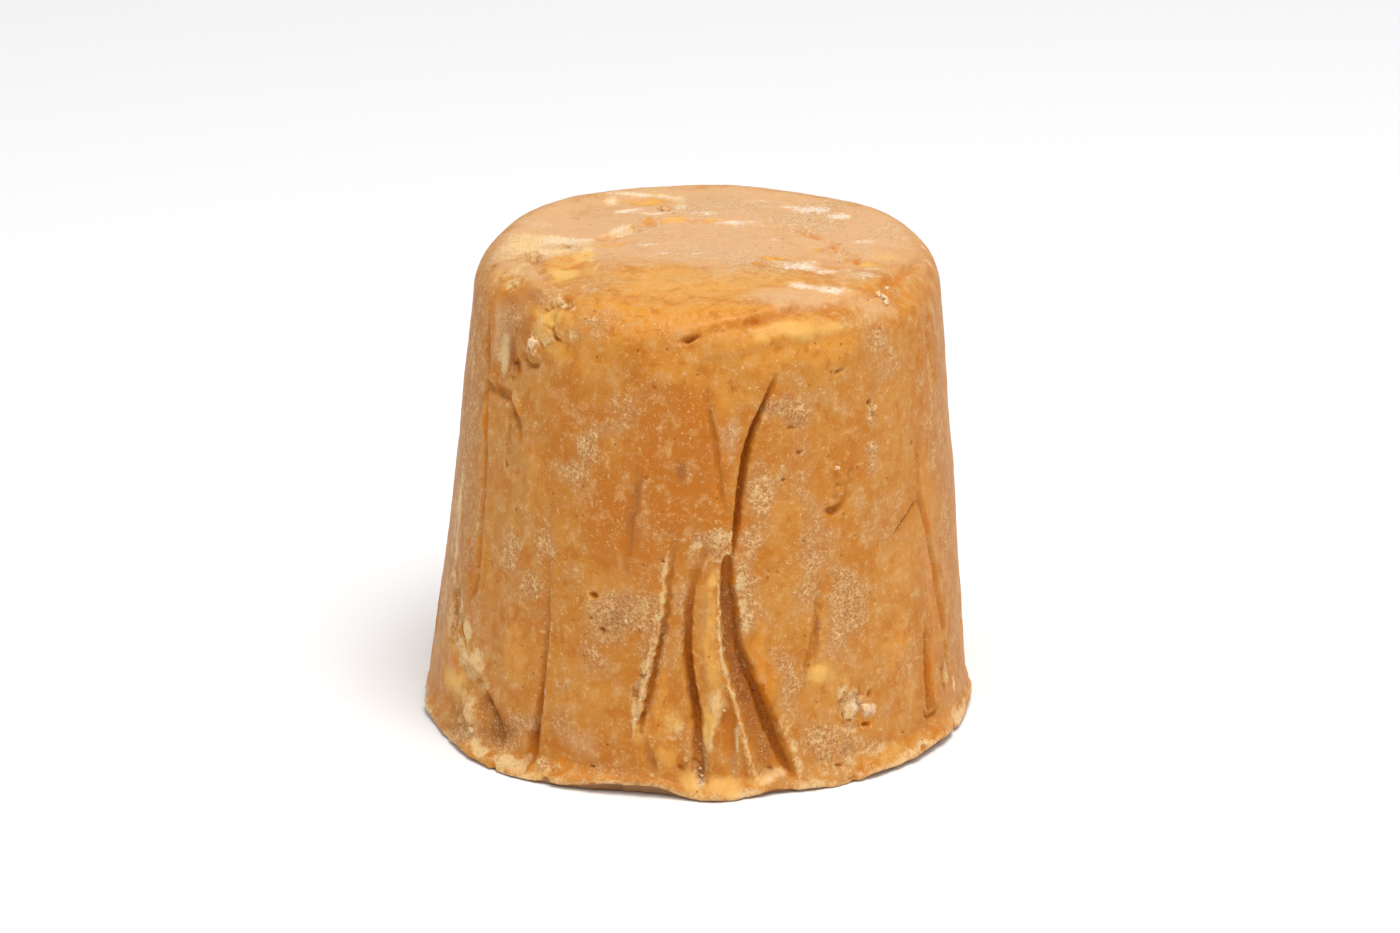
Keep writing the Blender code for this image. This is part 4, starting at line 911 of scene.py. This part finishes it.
def sculptBlock(obj):
    mesh = obj.data
    count = len(mesh.vertices)
    read = np.empty((2, count * 3), np.float32)
    mesh.vertices.foreach_get("co", read[0])
    mesh.vertices.foreach_get("normal", read[1])
    points, normals = read.reshape(2, -1, 3).astype(float)
    angle, run = angleAndRun(points)
    height, radius = points[:, 2] / mm, np.hypot(points[:, 0], points[:, 1]) / mm
    outward = np.stack([np.sin(np.radians(angle)), -np.cos(np.radians(angle)), np.zeros(count)], -1)
    under = (radius < blockForm["baseRadius"] - blockForm["lipThickness"] - 0.2) & (height < 0.2)

    relief = {"cut": np.zeros(count), "raised": np.zeros(count)}
    masks = {name: np.zeros(count) for name in ("crease", "paleLip", "crackShade", "tint", *wallPaint)}
    warped = points + noiseShift(points, 4.0, 1.6) + noiseShift(points, 1.3, 0.6)
    paintSpots(wallPaint, False, points, warped, masks)
    paintSpots(topPaint, True, points, warped, masks)
    ring = outward * blockForm["baseRadius"] * mm
    paleFoot = smooth((3.0 - run) / 2.2) * np.clip(0.7 + 0.8 * noiseAt(ring, 6.0, 30), 0.3, 1)
    masks["cream"] = np.maximum(masks["cream"], paleFoot * np.where(under, 0, 0.9))
    print("surface marked")

    for fold in creases.values():
        carveCrease(fold, False, points, relief, masks)
    for fold in topCreases.values():
        carveCrease(fold, True, points, relief, masks)
    for ridge in ridges.values():
        raiseRidge(ridge, points, relief, masks)
    pushAndPull(points + (warped - points) * 0.3, relief, masks)
    print("creases carved")
    breakTorn(points, relief, masks)
    print("torn places broken up")

    raised = swells["amount"] * noiseAt(points, swells["size"])
    raised += swells["smallAmount"] * noiseAt(points, swells["smallSize"], 2)
    raised += swells["grainAmount"] * noiseAt(points, swells["grainSize"], 5) * (1 - 0.7 * masks["wax"])
    raised += swells["streakAmount"] * noiseAt(points * (3.2, 3.2, 0.5), 6.0, 12)
    raised += roundBase(rimFills, angle) * bell((run - wallRun - rimRun / 2) / 5.5)
    for dentAngle, dentRun, spread, depth in dents:
        near, far = nearSpot(points, (dentAngle, dentRun), False, spread, spread, 3.5)
        raised[near] -= depth * bell(far)
    raised[under] = 0
    total = raised * mm + np.where(under, 0, relief["raised"] - relief["cut"])

    low = np.clip(1 - height / blockForm["footHeight"], 0, 1)
    footSkin = ring + points * [0, 0, 1]
    raggedFoot = 0.35 * noiseAt(ring, 6.0) + 0.3 * noiseAt(footSkin, 2.4, 9)
    raggedFoot = raggedFoot + 0.16 * noiseAt(footSkin, 0.9, 9)
    lift = roundBase(lifts, angle) + 0.4 * np.maximum(0, 0.4 + noiseAt(ring, 6.0))
    lift = lift + 0.25 * np.maximum(0, noiseAt(ring, 2.0, 8))
    points += normals * total[:, None]
    flare = (roundBase(flares, angle) + raggedFoot) * smooth(low) * np.minimum(1, radius / 40) * mm
    points += outward * flare[:, None]
    inset = blockForm["baseRadius"] - blockForm["lipThickness"] - radius
    padded = smooth(inset / (blockForm["padInset"] + blockForm["padInsetPerLift"] * lift + 0.01))
    points[:, 2] += lift * low * np.where(height < 0.2, 1 - padded, 1) * mm
    domed = np.where(run > wallRun + rimRun, 1 - (radius / rimCentre) ** 2, 0)
    points[:, 2] += blockForm["dome"] * mm * domed
    points[:, 0] += blockForm["lean"] * points[:, 2]
    shift = (points[:, :2].max(0) + points[:, :2].min(0)) / 2
    points[:, :2] -= shift
    mesh.vertices.foreach_set("co", points.astype(np.float32).ravel())
    # the bottom face, where painted shade goes
    masks["under"] = smooth((0.35 - height) / 0.3) * smooth((inset + 0.4) / 0.5)
    for name, values in masks.items():
        layer = mesh.attributes.new(name, "FLOAT", "POINT")
        layer.data.foreach_set("value", np.clip(values, 0, 1).astype(np.float32))
    mesh.update()
    print("block sculpted,", count, "points; moved by", (shift / mm).round(2))
    return shift


def thinBlock(obj):
    bpy.context.view_layer.objects.active = obj
    faces = sum(len(p.vertices) - 2 for p in obj.data.polygons)
    thinner = obj.modifiers.new("thinner", "DECIMATE")
    thinner.ratio = blockForm["triangles"] / faces
    bpy.ops.object.modifier_apply(modifier=thinner.name)
    bpy.ops.object.shade_smooth()
    print("thinned to", len(obj.data.polygons), "faces")


# Crumbs stuck to the block: on the top or not, angle, run (or x, y), size across, size up, paleness
crumbs = {
    "spots": [
        (False, 51.4, 93.2, 1.3, 1.2, 0.9), (False, 51.9, 92.1, 1.4, 1.2, 0.9),
        (False, 51.2, 91, 1, 1.1, 0.8), (False, 57, 94, 1, 0.9, 0.8), (False, 37.6, 13.4, 1.7, 1.9, 0.8),
        (False, 39.4, 13, 1.2, 1.5, 0.9), (False, 36.4, 15.4, 1.3, 1.4, 0.5),
        (False, -46.4, 83.8, 1.8, 1.6, 0.9), (False, -45.4, 82.2, 1, 1.1, 0.5),
        (False, -47.6, 82.2, 1, 1.2, 0.4), (False, -54, 4.8, 1.1, 1.1, 0.9),
        (False, -58.4, 3.2, 1, 0.9, 0.6), (False, 41.9, 72.2, 1.1, 0.8, 0.6),
        (False, 40.7, 64.6, 0.8, 0.8, 0.6), (False, -2.5, 8, 0.9, 0.7, 0.6),
        (False, 0.6, 5.6, 0.5, 0.6, 0.7), (False, 1, 4.2, 0.5, 0.4, 0.8),
        (False, 31, 62.2, 0.9, 0.7, 0.7), (False, -43.6, 93.2, 1.4, 1, 0.6),
        (False, -45.6, 91.2, 1, 0.9, 0.4), (False, -41.8, 92.6, 0.9, 0.8, 0.7),
        (False, 4.9, 29, 0.5, 0.8, 0.5), (False, 5.2, 17, 0.7, 0.5, 0.5),
        (False, -16.4, 34, 0.7, 0.5, 0.6), (False, -19.4, 36.2, 0.6, 0.6, 0.5),
        (False, 34, 33, 0.5, 0.5, 0.5), (False, -13.2, 33.4, 0.7, 0.5, 0.6),
        (True, -8.7, 22.2, 1.5, 1.2, 0.6), (True, 20.4, 20.8, 1, 0.7, 0.8),
        (True, 17, -16.6, 0.7, 0.5, 0.8), (True, 22.4, -26.8, 0.8, 0.6, 0.8),
        (False, -140, 80, 2, 1.6, 0.7), (False, -134, 85, 1.5, 1.3, 0.6), (False, 152, 12, 1.8, 1.5, 0.7),
        (False, 158, 16, 1.2, 1.1, 0.6), (False, 101, 9, 1.5, 1.2, 0.7),
    ],
    "sunk": 0.25,  # share of the size that is below the surface
    "flat": 0.7,
    "bevel": 0.2,
    "turn": 2.4,  # radians more for each next crumb
    "white": 0.6,  # share of the paleness that is white
}


def addCrumbs(shift):
    tree = BVHTree.FromObject(block, bpy.context.evaluated_depsgraph_get())
    made = []
    for number, (onTop, x, y, across, up, pale) in enumerate(crumbs["spots"]):
        place, outward = placeOn(onTop, x, y)
        place = place + [blockForm["lean"] * place[2] - shift[0], -shift[1], 0]
        outward = Vector(outward)
        spot = tree.ray_cast(Vector(place) + outward * 8 * mm, -outward)[0]
        if spot is None:
            print("no surface under crumb", number)
            continue
        bpy.ops.object.select_all(action="DESELECT")
        bpy.ops.mesh.primitive_cube_add(size=across * mm, location=(0, 0, 0))
        crumb = bpy.context.object
        bpy.ops.object.mode_set(mode="EDIT")
        bpy.ops.transform.resize(value=(1, up / across, crumbs["flat"]))
        bpy.ops.mesh.bevel(offset=crumbs["bevel"] * min(across, up) * mm, segments=2)
        bpy.ops.mesh.subdivide(number_cuts=2)
        bpy.ops.object.mode_set(mode="OBJECT")
        spin = Euler((0, 0, number * crumbs["turn"])).to_matrix()
        turn = outward.to_track_quat("Z", "Y").to_matrix() @ spin
        corners = np.array([v.co for v in crumb.data.vertices])
        moved = corners + number * 3.1 * mm
        bumps = noiseAt(moved, 0.8) * 0.5 * across + noiseAt(moved, 0.4) * 0.2 * across
        corners = corners * (1 + bumps / across)[:, None]
        corners = corners @ np.array(turn).T + np.array(spot)
        corners = corners + np.array(outward) * across * mm * (0.5 * crumbs["flat"] - crumbs["sunk"])
        crumb.data.vertices.foreach_set("co", corners.astype(np.float32).ravel())
        for name, amount in (("cream", pale), ("white", pale * crumbs["white"])):
            layer = crumb.data.attributes.new(name, "FLOAT", "POINT")
            layer.data.foreach_set("value", np.full(len(corners), amount, np.float32))
        made.append(crumb)
    bpy.ops.object.select_all(action="DESELECT")
    for crumb in made:
        crumb.select_set(True)
    bpy.context.view_layer.objects.active = made[0]
    bpy.ops.object.join()
    joined = bpy.context.object
    joined.name = "sugarCrumbs"
    bpy.ops.object.shade_smooth()
    print("crumbs stuck on:", len(made))
    return joined


# Shader wiring: a wire is an output socket, and sums on wires add Math nodes
class Wire:
    def __init__(self, tree, socket=None):
        self.tree, self.socket = tree, socket

    def node(self, kind, settings=None, sockets=None, out=0):
        made = self.tree.nodes.new(kind)
        for name, value in (settings or {}).items():
            setattr(made, name, value)
        for name, value in (sockets or {}).items():
            if isinstance(value, Wire):
                self.tree.links.new(value.socket, made.inputs[name])
            else:
                made.inputs[name].default_value = value
        return Wire(self.tree, made.outputs[out]) if len(made.outputs) else made

    def maths(self, operation, first, second):
        return self.node("ShaderNodeMath", {"operation": operation}, {0: first, 1: second})

    def __add__(self, other):
        return self.maths("ADD", self, other)

    def __radd__(self, other):
        return self.maths("ADD", other, self)

    def __sub__(self, other):
        return self.maths("SUBTRACT", self, other)

    def __rsub__(self, other):
        return self.maths("SUBTRACT", other, self)

    def __mul__(self, other):
        return self.maths("MULTIPLY", self, other)

    def __rmul__(self, other):
        return self.maths("MULTIPLY", other, self)

    def ease(self, low, high):
        # 0 below low, 1 above high, eased between
        return self.node(
            "ShaderNodeMapRange", {"interpolation_type": "SMOOTHSTEP"},
            {"Value": self, "From Min": low, "From Max": high},
        )

    def mixed(self, share, first, second):
        return self.node("ShaderNodeMix", {"data_type": "RGBA"}, {0: share, 6: first, 7: second}, 2)


def colour(red, green, blue):
    # from the values of a colour picker, 0 to 255
    shares = (c / 255 for c in (red, green, blue))
    return tuple(((c + 0.055) / 1.055) ** 2.4 if c > 0.04045 else c / 12.92 for c in shares) + (1.0,)


sugarFinish = {
    "golden": colour(201, 136, 54),
    "deepGolden": colour(192, 119, 33),
    "deepest": colour(188, 109, 25),
    "light": colour(211, 155, 88),
    "amber": colour(208, 122, 16),
    "shade": colour(166, 100, 44),
    # paler sugar, partly painted sheen on the top and the rim
    "paleSheen": colour(217, 171, 123),
    "tan": colour(194, 133, 60),
    "pinkTan": colour(192, 136, 86),
    "olive": colour(176, 127, 70),
    "wax": colour(216, 145, 52),
    "fleck": colour(220, 168, 104),
    "paleFleck": colour(234, 196, 140),
    "cream": colour(230, 194, 138),
    "yellow": colour(230, 178, 92),
    "white": colour(246, 226, 200),
    "haze": colour(232, 192, 152),
    # painted glint on pale grains
    "glint": colour(246, 202, 150),
    "brown": colour(168, 98, 40),
    "dust": colour(160, 99, 46),
    # painted shade for the bottom face
    "underside": colour(150, 112, 78),
    # crease and slit: painted shade inside creases, towards the sugar's orange-brown; slit is the deepest and
    # also tints dusty places
    "crease": colour(186, 108, 10),
    "slit": colour(156, 80, 2),
    # painted shade in fine pinholes
    "pinholeShade": colour(160, 82, 14),
    "speckDark": colour(84, 44, 26),
    "fleckSize": 0.8,
    "sparkleSize": 0.5,
    "bumpDepth": 1.0,
    "ior": 1.45,
    "specular": 0.25,
    "glow": 0.25,  # light that comes back out of the sugar, and how far each colour spreads
    "glowReach": (1.0, 0.42, 0.12),
    "glowScale": 1.6,
}


def sugarMaterial():
    material = bpy.data.materials.new("castSugar")
    material.use_nodes = True
    tree = material.node_tree
    tree.nodes.clear()
    w = Wire(tree)
    place = w.node("ShaderNodeTexCoord", out="Object")

    def cloud(size, detail=2.0, rough=0.5, seed=0.0, twist=0.0, stretch=None):
        where = place
        if seed or stretch:
            where = w.node(
                "ShaderNodeMapping", None,
                {"Vector": place, "Location": (seed, seed * 0.7, -seed), "Scale": stretch or (1, 1, 1)},
            )
        return w.node(
            "ShaderNodeTexNoise", None,
            {"Vector": where, "Scale": 1 / (size * mm), "Detail": detail, "Roughness": rough,
             "Distortion": twist}, "Fac",
        )

    def cells(size, kind):
        return w.node("ShaderNodeTexVoronoi", None, {"Vector": place, "Scale": 1 / (size * mm)}, kind)

    def mask(name):
        return w.node("ShaderNodeAttribute", {"attribute_name": name}, None, "Fac")

    finish = sugarFinish
    broad = cloud(16, 3.0, 0.55, 0.31)
    patchy = cloud(8, 4.0, 0.6, 0.83)
    medium = cloud(3.4, 3.0, 0.55, 0.12)
    clumps = cloud(1.7, 3.0, 0.6, 0.21, 0.5)
    grainy = cloud(finish["fleckSize"], 3.0, 0.6, 0.53, 0.35)
    fine = cloud(0.42, 2.0, 0.6, 0.77)
    drag = cloud(4.0, 3.0, 0.55, 0.4, 0.0, (3.0, 3.0, 0.4))

    # the cast sugar itself, in soft blotches, waxier where it was pressed against the lining
    base = w.mixed(broad.ease(0.38, 0.64), finish["golden"], finish["deepGolden"])

    def coat(share, tint):
        # a share of the tint over what is there so far
        nonlocal base
        base = w.mixed(share, base, tint)

    coat((patchy + (medium - 0.5) * 0.6).ease(0.46, 0.7) * 0.7, finish["tan"])
    coat((drag + (clumps - 0.5) * 0.4).ease(0.5, 0.7) * (0.45 - mask("wax") * 0.3), finish["tan"])
    coat(mask("olive").ease(0.0, 1.0) * 0.9, finish["olive"])
    coat(mask("olive") * (drag + (clumps - 0.5) * 0.6).ease(0.54, 0.66) * 0.6, finish["light"])
    coat(mask("olive") * (drag + (clumps - 0.5) * 0.6).ease(0.48, 0.36) * 0.5, finish["shade"])
    coat((mask("deep") + (patchy - 0.5) * 0.8).ease(0.1, 1.0) * 0.92, finish["deepest"])
    waxy = (mask("wax") + (medium - 0.5) * 0.6).ease(0.1, 0.9)
    coat(waxy * 0.85, finish["wax"])
    amber = (mask("amber") + (medium - 0.5) * 0.5).ease(0.05, 0.9)
    coat((0.5 - medium + (0.5 - clumps) * 0.5).ease(0.0, 0.22) * 0.75, finish["deepest"])
    coat((medium - 0.5 + (clumps - 0.5) * 0.7).ease(0.0, 0.25) * 0.65, finish["light"])

    # paler sugar; on the top and the rim's upper curve this paleness is partly painted sheen
    paleWithSheen = (mask("pale") + (medium - 0.5) * 0.7 + (patchy - 0.5) * 0.5 - mask("wax") * 0.8).ease(0.0, 1.0)
    coat(paleWithSheen * 0.85, finish["paleSheen"])
    coat(amber * 0.85, finish["amber"])

    # sugar that bloomed on the surface: crowds of soft flecks, dense where the bloom is
    crowd = mask("bloom") * 1.15 + (patchy - 0.5) * 1.8 + (medium - 0.5) * 1.3 + 0.1
    crowd = (crowd - waxy * 0.25 - amber * 0.5 - mask("deep") * 0.15).ease(0.0, 1.05)
    coat(crowd * (0.75 - paleWithSheen * 0.55), finish["pinkTan"])
    hollow = crowd * (1.0 - paleWithSheen * 0.8) * (0.5 - grainy + (0.5 - fine) * 0.6).ease(0.0, 0.25)
    coat(hollow * 0.6, finish["shade"])
    chosen = w.node("ShaderNodeSeparateColor", None, {"Color": cells(finish["sparkleSize"], "Color")}, "Red")
    apart = cells(finish["sparkleSize"], "Distance")
    fleckTint = w.mixed(paleWithSheen * 0.8, finish["fleck"], finish["haze"])
    grains = (chosen + (clumps - 0.5) * 0.5 - 0.5).ease(0.0, 0.25) * (0.46 - apart).ease(0.0, 0.2)
    coat(grains * crowd, fleckTint)
    fleckLevel = grainy + crowd * 0.18 + (clumps - 0.5) * 0.4 + (drag - 0.5) * 0.3
    coat((fleckLevel + (fine - 0.5) * 0.8).ease(0.54, 0.78) * (0.5 + crowd * 0.25), fleckTint)
    coat((fleckLevel + (fine - 0.5) * 0.9).ease(0.70, 0.92) * (0.55 + crowd * 0.3), finish["paleFleck"])
    coat((clumps + (patchy - 0.5) * 0.5).ease(0.62, 0.76) * 0.45, finish["light"])

    # crumbly, yellow, stained and dusty places, and painted shade in creases, holes and cracks
    creamAmount = mask("cream") + (clumps - 0.5) * 0.8 + (grainy - 0.5) * 0.9 + (fine - 0.5) * 0.5
    cream = creamAmount.ease(0.25, 0.95)
    coat(cream * 0.95, finish["cream"])
    coat(mask("torn") * (mask("tint") + (grainy - 0.5) * 0.8).ease(0.5, 0.9) * 0.8, finish["cream"])
    coat(mask("torn") * (0.35 - mask("tint") + (grainy - 0.5) * 0.6).ease(0.0, 0.3) * 0.5, finish["brown"])
    coat((mask("torn") + cream) * (0.5 - grainy + (0.5 - fine) * 0.7).ease(0.0, 0.25) * 0.5, finish["tan"])
    yellow = (mask("yellow") + (clumps - 0.5) * 0.5).ease(0.0, 1.1)
    coat(yellow, finish["yellow"])
    coat((mask("stain") + (clumps - 0.5) * 0.8 + (grainy - 0.5) * 0.5).ease(0.1, 1.0) * 0.75, finish["brown"])
    # painted shade in the creases and holes, with the sugar's orange-brown there; the deepest goes to the
    # slit tint
    creaseShade = mask("crease") * (1.0 + (grainy - 0.5) * 1.3 + (fine - 0.5) * 1.7)
    coat(creaseShade.ease(0.0, 0.6) * 0.85, finish["crease"])
    coat(creaseShade.ease(0.5, 1.0) * 0.9, finish["slit"])
    inCrease = (fleckLevel + (fine - 0.5) * 0.7).ease(0.64, 0.8) * mask("crease").ease(0.0, 0.3)
    coat(inCrease * 0.45, finish["fleck"])

    dusty = (mask("dust") + (medium - 0.5) * 0.5 + (grainy - 0.5) * 0.6).ease(0.1, 0.9)
    coat(dusty * 0.75, finish["dust"])
    coat(dusty * ((0.5 - clumps) * 0.6 + (0.5 - fine) * 0.9).ease(0.0, 0.16) * 0.55, finish["slit"])
    coat(dusty * (grainy + (fine - 0.5) * 0.9).ease(0.52, 0.7) * 0.65, finish["fleck"])
    lip = mask("paleLip") * (0.6 + medium * 0.8) + (grainy - 0.5) * 1.6 + (clumps - 0.5) * 1.4
    lip = lip.ease(0.35, 1.1)
    coat(lip * 0.7, finish["cream"])
    coat((mask("white") + (clumps - 0.5) * 0.6).ease(0.05, 0.7) * 0.45, finish["haze"])
    white = (mask("white") + (grainy - 0.5) * 1.4 + (clumps - 0.5) * 0.8 + (fine - 0.5) * 0.8).ease(0.35, 1.1)
    coat(white * 0.85, finish["white"])
    # painted shade in the cracks between torn facets
    coat(mask("crackShade") * 0.4, finish["crease"])

    # painted glints on pale single grains, painted shade in fine pinholes, and a few deep brown specks
    picked = (chosen - 0.985 + crowd * 0.07 + (clumps - 0.5) * 0.25).ease(0.0, 0.02)
    paintedGlint = (0.40 - apart).ease(0.0, 0.2) * picked
    coat(paintedGlint * 0.75, finish["glint"])
    pinhole = (0.075 - cells(3.6, "Distance")).ease(0.0, 0.03)
    coat(pinhole * 0.7, finish["pinholeShade"])
    coat((0.026 - cells(9.0, "Distance")).ease(0.0, 0.012) * 0.85, finish["speckDark"])
    # painted shade on the bottom face, seen under the lifted lip
    coat(mask("under") * 0.9, finish["underside"])

    rough = 0.50 + crowd * 0.12 + mask("torn") * 0.15 - waxy * 0.12 + (medium - 0.5) * 0.15 + dusty * 0.15
    height = (medium - 0.5) * 0.22 + (clumps - 0.5) * (0.16 + mask("torn") * 0.35 + crowd * 0.16)
    height = height + (drag - 0.5) * 0.12
    height = height + grains * crowd * 0.07 + fleckLevel.ease(0.56, 0.82) * (0.06 + crowd * 0.09)
    height = height + paintedGlint * 0.05 - pinhole * 0.25
    height = height + (grainy - 0.5) * (0.04 + mask("torn") * 0.25 + dusty * 0.12 + cream * 0.1 + white * 0.1)
    height = height + (fine - 0.5) * (0.02 + crowd * 0.08)
    bump = w.node(
        "ShaderNodeBump", None,
        {"Strength": 1.0, "Distance": finish["bumpDepth"] * mm, "Height": height}, "Normal",
    )
    shader = w.node(
        "ShaderNodeBsdfPrincipled", None,
        {"Base Color": base, "Roughness": rough, "Normal": bump, "IOR": finish["ior"],
         "Specular IOR Level": finish["specular"], "Subsurface Weight": finish["glow"],
         "Subsurface Radius": finish["glowReach"], "Subsurface Scale": finish["glowScale"] * mm},
    )
    w.node("ShaderNodeOutputMaterial", None, {"Surface": shader})
    return material


def plainMaterial(name, tint, rough):
    material = bpy.data.materials.new(name)
    material.use_nodes = True
    shader = material.node_tree.nodes["Principled BSDF"]
    shader.inputs["Base Color"].default_value = tint
    shader.inputs["Roughness"].default_value = rough
    return material


studio = {
    "floorSize": 8.0,
    "floorTint": (0.93, 0.93, 0.93, 1),
    "sky": 0.56,
    "lens": 131.5,
    "sensor": 36,
    "clipStart": 0.01,
    "distance": 1.0,
    "elevation": 20.0,
    "aim": (0.3, 0.0, 47.55),  # mm
    # name, place, aim, width, height, watts
    "lights": [
        ("topLight", (0.2, -0.4, 1.42), (0, 0, 0.05), 0.8, 0.7, 16.2),
        ("rightLight", (1.3, -0.9, 0.9), (0, 0, 0.05), 0.9, 0.9, 1.7),
        ("leftLight", (-1.3, -0.8, 0.6), (0, 0, 0.05), 0.9, 0.9, 0.2),
    ],
}


def setStudio():
    bpy.ops.mesh.primitive_plane_add(size=studio["floorSize"], location=(0, 0, 0))
    floor = bpy.context.object
    floor.name = "studioFloor"
    floor.data.materials.append(plainMaterial("floorPaper", studio["floorTint"], 0.9))

    world = bpy.data.worlds.new("studioSky")
    world.use_nodes = True
    world.node_tree.nodes["Background"].inputs["Color"].default_value = (1, 1, 1, 1)
    world.node_tree.nodes["Background"].inputs["Strength"].default_value = studio["sky"]
    bpy.context.scene.world = world
    bpy.context.scene.view_settings.view_transform = "Standard"

    for name, place, aim, width, height, watts in studio["lights"]:
        light = bpy.data.lights.new(name, "AREA")
        light.shape, light.size, light.size_y, light.energy = "RECTANGLE", width, height, watts
        lamp = bpy.data.objects.new(name, light)
        lamp.location = place
        lamp.rotation_euler = (Vector(aim) - Vector(place)).to_track_quat("-Z", "Y").to_euler()
        bpy.context.scene.collection.objects.link(lamp)

    camera = bpy.data.objects.new("camera", bpy.data.cameras.new("camera"))
    camera.data.lens = studio["lens"]
    camera.data.sensor_width = studio["sensor"]
    camera.data.clip_start = studio["clipStart"]
    tilt = math.radians(studio["elevation"])
    aim = Vector(studio["aim"]) * mm
    camera.location = aim + studio["distance"] * Vector((0, -math.cos(tilt), math.sin(tilt)))
    camera.rotation_euler = (math.pi / 2 - tilt, 0, 0)
    bpy.context.scene.collection.objects.link(camera)
    bpy.context.scene.camera = camera


sugar = sugarMaterial()
block = startBlock()
print("block started:", len(block.data.vertices), "points")
shift = sculptBlock(block)
thinBlock(block)
block.data.materials.clear()
block.data.materials.append(sugar)
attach(block, "root")
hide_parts("jaggery_block")
print("block finished")

crumbPiece = addCrumbs(shift)
crumbPiece.data.materials.clear()
crumbPiece.data.materials.append(sugar)
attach(crumbPiece, "root")

setStudio()
print("studio set")
